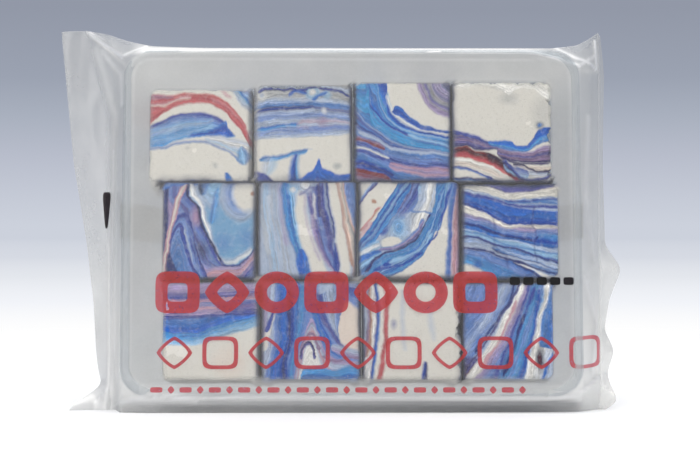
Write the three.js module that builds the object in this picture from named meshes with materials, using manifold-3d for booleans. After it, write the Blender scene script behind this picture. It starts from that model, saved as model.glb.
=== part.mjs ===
// A sealed clear pouch holding a tray of twelve marshmallow squares, stood on its long lower edge.
//
// The pouch is one closed skin, lofted from its left fin seal to its right one. It is drawn in the
// pack's own directions: x runs across, w back from the front face and v up it. The whole pack is
// then leaned back, cut flat where it meets the ground, and centred. Millimetres, +Z up, and the
// see-through face looks along -Y.

import * as THREE from 'three';
import { mergeVertices } from 'three/addons/utils/BufferGeometryUtils.js';
import Module from 'manifold-3d';

// Driving dimensions of the pouch
const LEAN = THREE.MathUtils.degToRad(7);
const PACK_DEPTH = 32;
const PANEL_DEPTH = 0.8;
const FIN_THICKNESS = 0.9;
const RIDGE_HEIGHT = 119;

// The tray's flange, seen through the front face and felt as a raised frame round it
const RIM = { width: 147.7, height: 112.2, x: 3, v: 61.5, band: 2.6, radius: 9 };

// The sweets, which press the film out as low cushions
const SWEET = { width: 31.4, height: 31.1, radius: 3.5, proud: 0.45 };
const SWEET_PITCH = { x: 32.5, v: 32.1 };
const LOWEST_SWEET_V = 10.6;
const ROW_LEFT_EDGES = [-57.8, -59, -62.4];
const SWEETS_PER_ROW = 4;

// The lengthwise seal, folded down flat on the back
const SEAM = { width: 12, proud: 0.8, v: 64, inset: 9 };

// Edges of the fin seals and the folds they spring from, as [v, x, w], from the ground up
const LEFT_EDGE = [
  [1, -88.4, 11], [3.2, -87.3, 12], [5.4, -83.7, 14], [6.2, -81.4, 15.5], [10.1, -78.1, 18],
  [14.7, -80.4, 20], [38, -82.1, 20], [56, -84.2, 18.5], [82, -88.6, 16], [97, -89.9, 14],
  [126, -93, 13],
];
const LEFT_FOLD = [
  [0, -75.9, 14], [97, -76, 14], [104, -77.8, 14], [115, -81.2, 14], [126.6, -84, 14],
];
const RIGHT_FOLD = [
  [0, 82.4, 15], [7, 83.6, 14], [57, 83.8, 14], [116, 84.6, 14], [126, 84.4, 14],
];
const RIGHT_EDGE = [
  [1.6, 83.9, 13], [3.6, 89.3, 13.5], [5.4, 89, 14], [10, 87.2, 17], [13, 86.3, 19],
  [21, 89.1, 19.5], [28, 86.2, 22], [38, 87.9, 21], [48, 91.8, 17.5], [56, 87, 22], [83, 87, 24],
  [114, 87.8, 24], [126, 86.5, 22],
];

// Lines that run the length of the pouch, as [x, w, v]
const TOP_CREASE = [
  [-84, 13.6, 126.4], [-79, 9, 121.6], [-71.8, 1.4, 115.3], [-67.5, 0.8, 116.6],
  [-62, 0.8, 117.4], [60, 0.8, 117], [64, 0.8, 116.5], [70.6, 0.8, 114.5], [73.8, 1, 112.6],
  [78.8, 1.6, 112.3], [84.4, 13.6, 115.8],
];
const RIDGE = [
  [-84, 14, 126.8], [-64.3, 6, 120.2], [-58, 4.5, RIDGE_HEIGHT], [68.4, 4.5, RIDGE_HEIGHT - 0.1],
  [77, 8, 120.7], [84.4, 14, 126],
];
const LOW_CREASE = [
  [-75.9, 13.6, 4.6], [-71, 2.4, 2.4], [-61, PANEL_DEPTH, 3.1], [-45, PANEL_DEPTH, 4.4],
  [-29, PANEL_DEPTH, 5.3], [63, PANEL_DEPTH, 5.3], [76, 1.2, 6.2], [83.5, 13.6, 7.3],
];
const GROUND_LINE = [
  [-75.9, 13.6, -1], [-71, 4, -1], [-60, 1.6, -1], [0, 3, -1], [60, 5.5, -1], [76, 8.5, -1],
  [83.5, 14, -1],
];
const BACK_TOP = [
  [-84, 14.4, 126], [-71, 22, 119], [-62, PACK_DEPTH, 112.5], [68, PACK_DEPTH, 112.5],
  [77, 22, 118.5], [84.4, 14.4, 125.4],
];
const BACK_FOOT = [
  [-75.9, 14.4, 5.5], [-71, 22, 6], [-62, PACK_DEPTH, 7], [68, PACK_DEPTH, 7], [77, 22, 6],
  [83.5, 14.4, 6.5],
];
const BACK_GROUND = [
  [-75.9, 14.4, -1], [-71, 19, -1], [-62, PACK_DEPTH - 1.2, 1], [68, PACK_DEPTH - 1.2, 1],
  [77, 19, -1], [83.5, 14.8, -1],
];

// Heights of the skin's rows on the fins, closer near the ground where the ears fold. On the
// filled part the same rows are spread between its low and its top crease.
const ROW_HEIGHTS = [0, 1.4, 3.4, 5.4, 10, 13.6, 21, 28, 38, 48, 56, 68, 82.5, 97, 104, 114.5, 126];
const ROW_SHARES = ROW_HEIGHTS.map((height) => height / ROW_HEIGHTS[ROW_HEIGHTS.length - 1]);

// Position along a list of points at one value of its first number
function along(line, key) {
  const last = line[line.length - 1];
  if (key <= line[0][0]) {
    return line[0];
  }
  if (key >= last[0]) {
    return last;
  }
  const next = line.findIndex((point) => point[0] > key);
  const [a, b] = [line[next - 1], line[next]];
  const share = (key - a[0]) / (b[0] - a[0]);
  return a.map((value, i) => THREE.MathUtils.lerp(value, b[i], share));
}

// One cross-section of the filled part of the pouch: up the front, over the top and down the back
function bodySection(x, placeX) {
  const [, creaseW, creaseV] = along(TOP_CREASE, x);
  const [, lowW, lowV] = along(LOW_CREASE, x);
  const [, footW, footV] = along(BACK_FOOT, x);
  const [, backW, backV] = along(BACK_TOP, x);
  const [, ridgeW, ridgeV] = along(RIDGE, x);
  const [, groundW, groundV] = along(GROUND_LINE, x);
  const [, heelW, heelV] = along(BACK_GROUND, x);
  const front = ROW_SHARES.map((t) => [
    THREE.MathUtils.lerp(lowW, creaseW, t), THREE.MathUtils.lerp(lowV, creaseV, t),
  ]);
  const back = ROW_SHARES.map((t) => [
    THREE.MathUtils.lerp(footW, backW, t), THREE.MathUtils.lerp(footV, backV, t),
  ]);
  const loop = [[groundW, groundV], ...front, [ridgeW, ridgeV], ...back.reverse(), [heelW, heelV]];
  return loop.map(([w, v]) => new THREE.Vector3(placeX(v), w, v));
}

// The section at a fold, where the filled part has narrowed to the seal
function foldSection(fold, x) {
  return bodySection(x, (v) => along(fold, v)[1]);
}

// One cross-section of a fin, as thick as the seal, between its fold and its free edge
function finSection(edge, fold, share, side) {
  const [foldTop, edgeTop] = [fold[fold.length - 1][0], edge[edge.length - 1][0]];
  const top = THREE.MathUtils.lerp(foldTop, edgeTop, share);
  const heights = ROW_SHARES.map((t) => t * top);
  const middle = heights.map((v) => {
    const [, foldX, foldW] = along(fold, v);
    const [, edgeX, edgeW] = along(edge, v);
    const run = new THREE.Vector2(edgeX - foldX, edgeW - foldW).normalize();
    const x = THREE.MathUtils.lerp(foldX, edgeX, share);
    const w = THREE.MathUtils.lerp(foldW, edgeW, share);
    return { v, x, w, nx: run.y * side, nw: -run.x * side };
  });
  const half = FIN_THICKNESS / 2;
  const sheet = (sign) => middle.map((p) => new THREE.Vector3(
    p.x + sign * half * p.nx, p.w + sign * half * p.nw, p.v,
  ));
  const [front, back] = [sheet(1), sheet(-1)];
  const [foot, crest] = [middle[0], middle[middle.length - 1]];
  return [
    new THREE.Vector3(front[0].x, front[0].y, -1),
    ...front,
    new THREE.Vector3(crest.x, crest.w, crest.v + 0.2),
    ...back.reverse(),
    new THREE.Vector3(back[back.length - 1].x, foot.w + half, -1),
  ];
}

// The pouch: its sections in order from left to right, skinned and closed at both ends
function pouchSkin() {
  const straight = (x) => bodySection(x, () => x);
  const walled = (x, fold, rimX, share) => bodySection(x, (v) => (
    THREE.MathUtils.lerp(along(fold, v)[1], rimX, share)
  ));
  const rimLeft = RIM.x - RIM.width / 2;
  const rimRight = RIM.x + RIM.width / 2;
  const filled = [
    rimLeft, -67.5, -62, -45, -30, -15, 0, 15, 30, 45, 60, 64, 67.5, 70.6, 73.8, rimRight,
  ];
  const sections = [
    finSection(LEFT_EDGE, LEFT_FOLD, 1, 1),
    finSection(LEFT_EDGE, LEFT_FOLD, 0.5, 1),
    finSection(LEFT_EDGE, LEFT_FOLD, 0.06, 1),
    walled(-79, LEFT_FOLD, rimLeft, 0.45),
    ...filled.map(straight),
    walled(80.6, RIGHT_FOLD, rimRight, 0.45),
    foldSection(RIGHT_FOLD, 84.4),
    finSection(RIGHT_EDGE, RIGHT_FOLD, 0.08, -1),
    finSection(RIGHT_EDGE, RIGHT_FOLD, 0.5, -1),
    finSection(RIGHT_EDGE, RIGHT_FOLD, 1, -1),
  ];
  const count = sections[0].length;
  const positions = sections.flat().flatMap((p) => [p.x, p.y, p.z]);
  const faces = [];
  for (let s = 0; s < sections.length - 1; s += 1) {
    for (let i = 0; i < count; i += 1) {
      const next = (i + 1) % count;
      const [a, b] = [s * count + i, s * count + next];
      faces.push(a, a + count, b, b, a + count, b + count);
    }
  }
  const closeEnd = (first, flip) => {
    for (let i = 0; i < count / 2 - 1; i += 1) {
      const [a, b] = [first + i, first + i + 1];
      const [c, d] = [first + count - 1 - i, first + count - 2 - i];
      const strip = b === d ? [a, b, c] : [a, b, c, b, d, c];
      faces.push(...(flip ? strip.reverse() : strip));
    }
  };
  closeEnd(0, false);
  closeEnd((sections.length - 1) * count, true);
  const geometry = new THREE.BufferGeometry();
  geometry.setAttribute('position', new THREE.Float32BufferAttribute(positions, 3));
  geometry.setIndex(faces);
  return geometry;
}

// A rectangle with round corners, centred on a point of the front face
function roundedRectangle(Path, width, height, radius) {
  const path = new Path();
  const [x, y] = [width / 2, height / 2];
  path.moveTo(-x + radius, -y);
  path.lineTo(x - radius, -y);
  path.absarc(x - radius, -y + radius, radius, -Math.PI / 2, 0);
  path.lineTo(x, y - radius);
  path.absarc(x - radius, y - radius, radius, 0, Math.PI / 2);
  path.lineTo(-x + radius, y);
  path.absarc(-x + radius, y - radius, radius, Math.PI / 2, Math.PI);
  path.lineTo(-x, -y + radius);
  path.absarc(-x + radius, -y + radius, radius, Math.PI, 1.5 * Math.PI);
  return path;
}

// An outline pushed back from the front face, its front edge rounded over
function raised(shape, x, v, frontW, edge) {
  const geometry = new THREE.ExtrudeGeometry(shape, {
    depth: 3, curveSegments: 4, bevelThickness: edge, bevelSize: edge, bevelOffset: -edge,
    bevelSegments: 1,
  });
  geometry.rotateX(Math.PI / 2);
  geometry.translate(x, frontW + 3 + edge, v);
  return geometry;
}

// The tray's flange under the film
function rimFrame() {
  const shape = roundedRectangle(THREE.Shape, RIM.width, RIM.height, RIM.radius);
  const inner = [RIM.width - 2 * RIM.band, RIM.height - 2 * RIM.band, RIM.radius - RIM.band];
  shape.holes.push(roundedRectangle(THREE.Path, ...inner));
  return raised(shape, RIM.x, RIM.v, 0, 0.5);
}

// One low cushion in the film for each sweet that it lies on
function sweetCushions() {
  const shape = roundedRectangle(THREE.Shape, SWEET.width, SWEET.height, SWEET.radius);
  return ROW_LEFT_EDGES.flatMap((left, row) => (
    Array.from({ length: SWEETS_PER_ROW }, (_, column) => {
      const x = left + SWEET.width / 2 + column * SWEET_PITCH.x;
      const v = LOWEST_SWEET_V + SWEET.height / 2 + row * SWEET_PITCH.v;
      return raised(shape, x, v, PANEL_DEPTH - SWEET.proud, 0.4);
    })
  ));
}

// A plain box from its middle and its size
function block(size, middle) {
  return new THREE.BoxGeometry(...size).translate(...middle);
}

// The lengthwise seal lies flat on the back, clear of the tray's slanting ends
function backSeam() {
  const length = RIM.width - 2 * SEAM.inset - 4;
  return block([length, 3, SEAM.width], [RIM.x, PACK_DEPTH - 1.5 + SEAM.proud, SEAM.v]);
}

const wasm = await Module();
wasm.setup();

// A closed mesh as a solid that can be joined and cut
function toSolid(geometry) {
  const bare = geometry.clone();
  bare.deleteAttribute('normal');
  bare.deleteAttribute('uv');
  const merged = mergeVertices(bare, 1e-4);
  return new wasm.Manifold(new wasm.Mesh({
    numProp: 3,
    vertProperties: new Float32Array(merged.attributes.position.array),
    triVerts: new Uint32Array(merged.index.array),
  }));
}

// A solid back as a three.js geometry
function toGeometry(solid) {
  const mesh = solid.getMesh();
  const geometry = new THREE.BufferGeometry();
  geometry.setAttribute('position', new THREE.BufferAttribute(mesh.vertProperties, 3));
  geometry.setIndex(new THREE.BufferAttribute(mesh.triVerts, 1));
  return geometry;
}

// The pack leaned back and cut flat on the ground, then centred over the origin
function standingPack() {
  const raisedParts = [rimFrame(), ...sweetCushions(), backSeam()].map(toSolid);
  const whole = raisedParts.reduce((solid, part) => solid.add(part), toSolid(pouchSkin()));
  const leaned = toGeometry(whole).rotateX(-LEAN);
  const ground = block([400, 400, 100], [0, 0, -50]);
  const geometry = toGeometry(toSolid(leaned).subtract(toSolid(ground)));
  geometry.computeBoundingBox();
  const middle = geometry.boundingBox.getCenter(new THREE.Vector3());
  geometry.translate(-middle.x, -middle.y, 0);
  geometry.computeVertexNormals();
  return geometry;
}

const film = new THREE.MeshStandardMaterial({ color: '#c9cbd0', roughness: 0.35, metalness: 0 });

const group = new THREE.Group();
const bag = new THREE.Mesh(standingPack(), film);
bag.name = 'bag';
group.add(bag);

export default group;
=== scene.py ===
import math

import bpy
import numpy as np
from mathutils import Matrix, Vector, noise


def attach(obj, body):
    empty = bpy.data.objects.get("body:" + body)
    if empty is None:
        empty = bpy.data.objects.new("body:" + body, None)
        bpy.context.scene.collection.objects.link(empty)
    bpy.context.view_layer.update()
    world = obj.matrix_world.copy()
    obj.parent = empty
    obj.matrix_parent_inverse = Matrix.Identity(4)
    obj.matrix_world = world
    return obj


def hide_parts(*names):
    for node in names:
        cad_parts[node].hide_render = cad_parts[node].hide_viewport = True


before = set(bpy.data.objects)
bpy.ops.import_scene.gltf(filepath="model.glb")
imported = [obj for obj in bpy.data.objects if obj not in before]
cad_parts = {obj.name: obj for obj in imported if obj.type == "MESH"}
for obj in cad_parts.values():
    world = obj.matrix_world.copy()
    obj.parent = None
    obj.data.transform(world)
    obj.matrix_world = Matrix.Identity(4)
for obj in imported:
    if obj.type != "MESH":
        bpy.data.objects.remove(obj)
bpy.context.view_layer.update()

bl_info = {
    "name": "Marshmallow pack",
    "version": (1, 0, 0),
    "blender": (4, 5, 0),
    "location": "View3D > Sidebar > Marshmallow pack",
    "description": "Builds a clear pouch of marbled marshmallow squares round its packed solid",
    "category": "Add Mesh",
}

MM = 0.001

# The pack is drawn in its own directions, in millimetres: x across, w back from the front face
# and v up it. It leans back, and then stands over the frame's origin.
LEAN = math.radians(7)
MIDDLE_X, MIDDLE_Y = -0.5346, 23.0954
RIM_X, RIM_V, RIM_WIDE, RIM_HIGH, RIM_RADIUS = 3.0, 61.5, 147.7, 112.2, 9.0
GROUND_V = -1  # the film's loop starts and ends below the ground, and is cut flat there
SMOOTH_ANGLE = math.radians(50)

# Edges of the fin seals and the folds they spring from, as [v, x, w]
LEFT_EDGE = [
    [1, -88.4, 11], [3.2, -87.3, 12], [5.4, -83.7, 14], [6.2, -81.4, 15.5], [10.1, -78.1, 18],
    [14.7, -80.4, 20], [38, -82.1, 20], [56, -84.2, 18.5], [82, -88.6, 16], [97, -89.9, 14],
    [126, -93, 13],
]
LEFT_FOLD = [
    [0, -75.9, 14], [97, -76, 14], [104, -77.8, 14], [115, -81.2, 14], [126.6, -84, 14],
]
RIGHT_FOLD = [
    [0, 82.4, 15], [7, 83.6, 14], [57, 83.8, 14], [116, 84.6, 14], [126, 84.4, 14],
]
RIGHT_EDGE = [
    [1.6, 83.9, 13], [3.6, 89.3, 13.5], [5.4, 89, 14], [10, 87.2, 17], [13, 86.3, 19],
    [21, 89.1, 19.5], [28, 86.2, 22], [38, 87.9, 21], [48, 91.8, 17.5], [56, 87, 22],
    [83, 87, 24], [114, 87.8, 24], [126, 86.5, 22],
]

# Lines that run the length of the pouch, as [x, w, v]
TOP_CREASE = [
    [-84, 13.6, 126.4], [-79, 9, 121.6], [-71.8, 1.4, 115.3], [-67.5, 0.8, 116.6],
    [-62, 0.8, 117.4], [60, 0.8, 117], [64, 0.8, 116.5], [70.6, 0.8, 114.5], [73.8, 1, 112.6],
    [78.8, 1.6, 112.3], [84.4, 13.6, 115.8],
]
RIDGE = [
    [-84, 14, 126.8], [-64.3, 6, 120.2], [-58, 4.5, 119], [68.4, 4.5, 118.9], [77, 8, 120.7],
    [84.4, 14, 126],
]
LOW_CREASE = [
    [-75.9, 13.6, 4.6], [-71, 2.4, 2.4], [-61, 0.8, 3.1], [-45, 0.8, 4.4], [-29, 0.8, 5.3],
    [63, 0.8, 5.3], [76, 1.2, 6.2], [83.5, 13.6, 7.3],
]
GROUND_LINE = [
    [-75.9, 13.6, -1], [-71, 4, -1], [-60, 1.6, -1], [0, 3, -1], [60, 5.5, -1], [76, 8.5, -1],
    [83.5, 14, -1],
]
BACK_TOP = [
    [-84, 14.4, 126], [-71, 22, 119], [-62, 32, 112.5], [68, 32, 112.5], [77, 22, 118.5],
    [84.4, 14.4, 125.4],
]
BACK_FOOT = [
    [-75.9, 14.4, 5.5], [-71, 22, 6], [-62, 32, 7], [68, 32, 7], [77, 22, 6], [83.5, 14.4, 6.5],
]
BACK_GROUND = [
    [-75.9, 14.4, -1], [-71, 19, -1], [-62, 30.8, 1], [68, 30.8, 1], [77, 19, -1],
    [83.5, 14.8, -1],
]
ROW_HEIGHTS = [0, 1.4, 3.4, 5.4, 10, 13.6, 21, 28, 38, 48, 56, 68, 82.5, 97, 104, 114.5, 126]
ROW_SHARES = np.array(ROW_HEIGHTS) / ROW_HEIGHTS[-1]


# ---------------------------------------------------------------- colours of the marbling

TONES = {
    "cream": "#D6D3CB", "ivory": "#D9CCC1", "white": "#E8E7E3", "mist": "#A6B4CB",
    "ice": "#8DB6D8", "sky": "#4990CA", "steel": "#4676B6", "blue": "#2566B8",
    "bright": "#165CBE", "turquoise": "#3894CA", "teal": "#6F9DC2", "deep": "#10409C",
    "navy": "#18276A", "night": "#171D3E", "violet": "#354595", "purple": "#545492",
    "plum": "#342E62", "lavender": "#6683BE", "lilac": "#9B8CB2", "mauve": "#836C8C",
    "pink": "#C0959F", "peach": "#CDA99A", "coral": "#BC5E60", "brick": "#7A2C30",
    "maroon": "#481A2C", "crimson": "#AC4450", "grey": "#9FA1A2", "tan": "#AC8470",
}

# How soft a ribbon's edges are in mm and how far its tones stray, where its line doesn't say
USUAL = {"rise": (0.85, 0.35), "run": (0.85, 0.35), "ring": (0.5, 0.3), "strand": (0.65, 0.2),
         "thread": (0.65, 0.2)}


def ribbon(line):
    """Reads a ribbon from its kind, its tones, its settings and its edges, in mm.

    A rise lies between two edges of across:up points and a run between two of up:across points,
    and an edge that isn't given is off the square. A strand is a thin rise along one line, and a
    thread a thin run. A ring has its centre, and its inner:outer radius, or only the outer one.
    """
    head, *edges = line.split("|")
    kind, tones, *words = head.split()
    soft, streak = USUAL[kind]
    said = {"soft": soft, "streak": streak, "cover": 1.0, "squeeze": 1.0}
    said.update((key, float(value)) for key, value in (word.split("=") for word in words))
    first, second = (
        [[tuple(map(float, point.split(":"))) for point in edge.split()] or None
         for edge in edges] + [None])[:2]
    if kind == "ring":
        radii = second[0]
        first, second = (*first[0], said["squeeze"], radii[-2] if radii[1:] else None), radii[-1]
    elif "wide" in said:
        kind = "rise" if kind == "strand" else "run"
        first, second = ([(s, t + side * said["wide"] / 2) for s, t in first] for side in (-1, 1))
    return kind, first, second, tones.split(","), said["soft"], said["streak"], said["cover"]


def all_ribbons(text):
    """A square's ribbons, one to a line. A line that starts with two spaces goes on."""
    return [ribbon(line) for line in text.replace("\n  ", " ").split("\n") if line]


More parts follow.
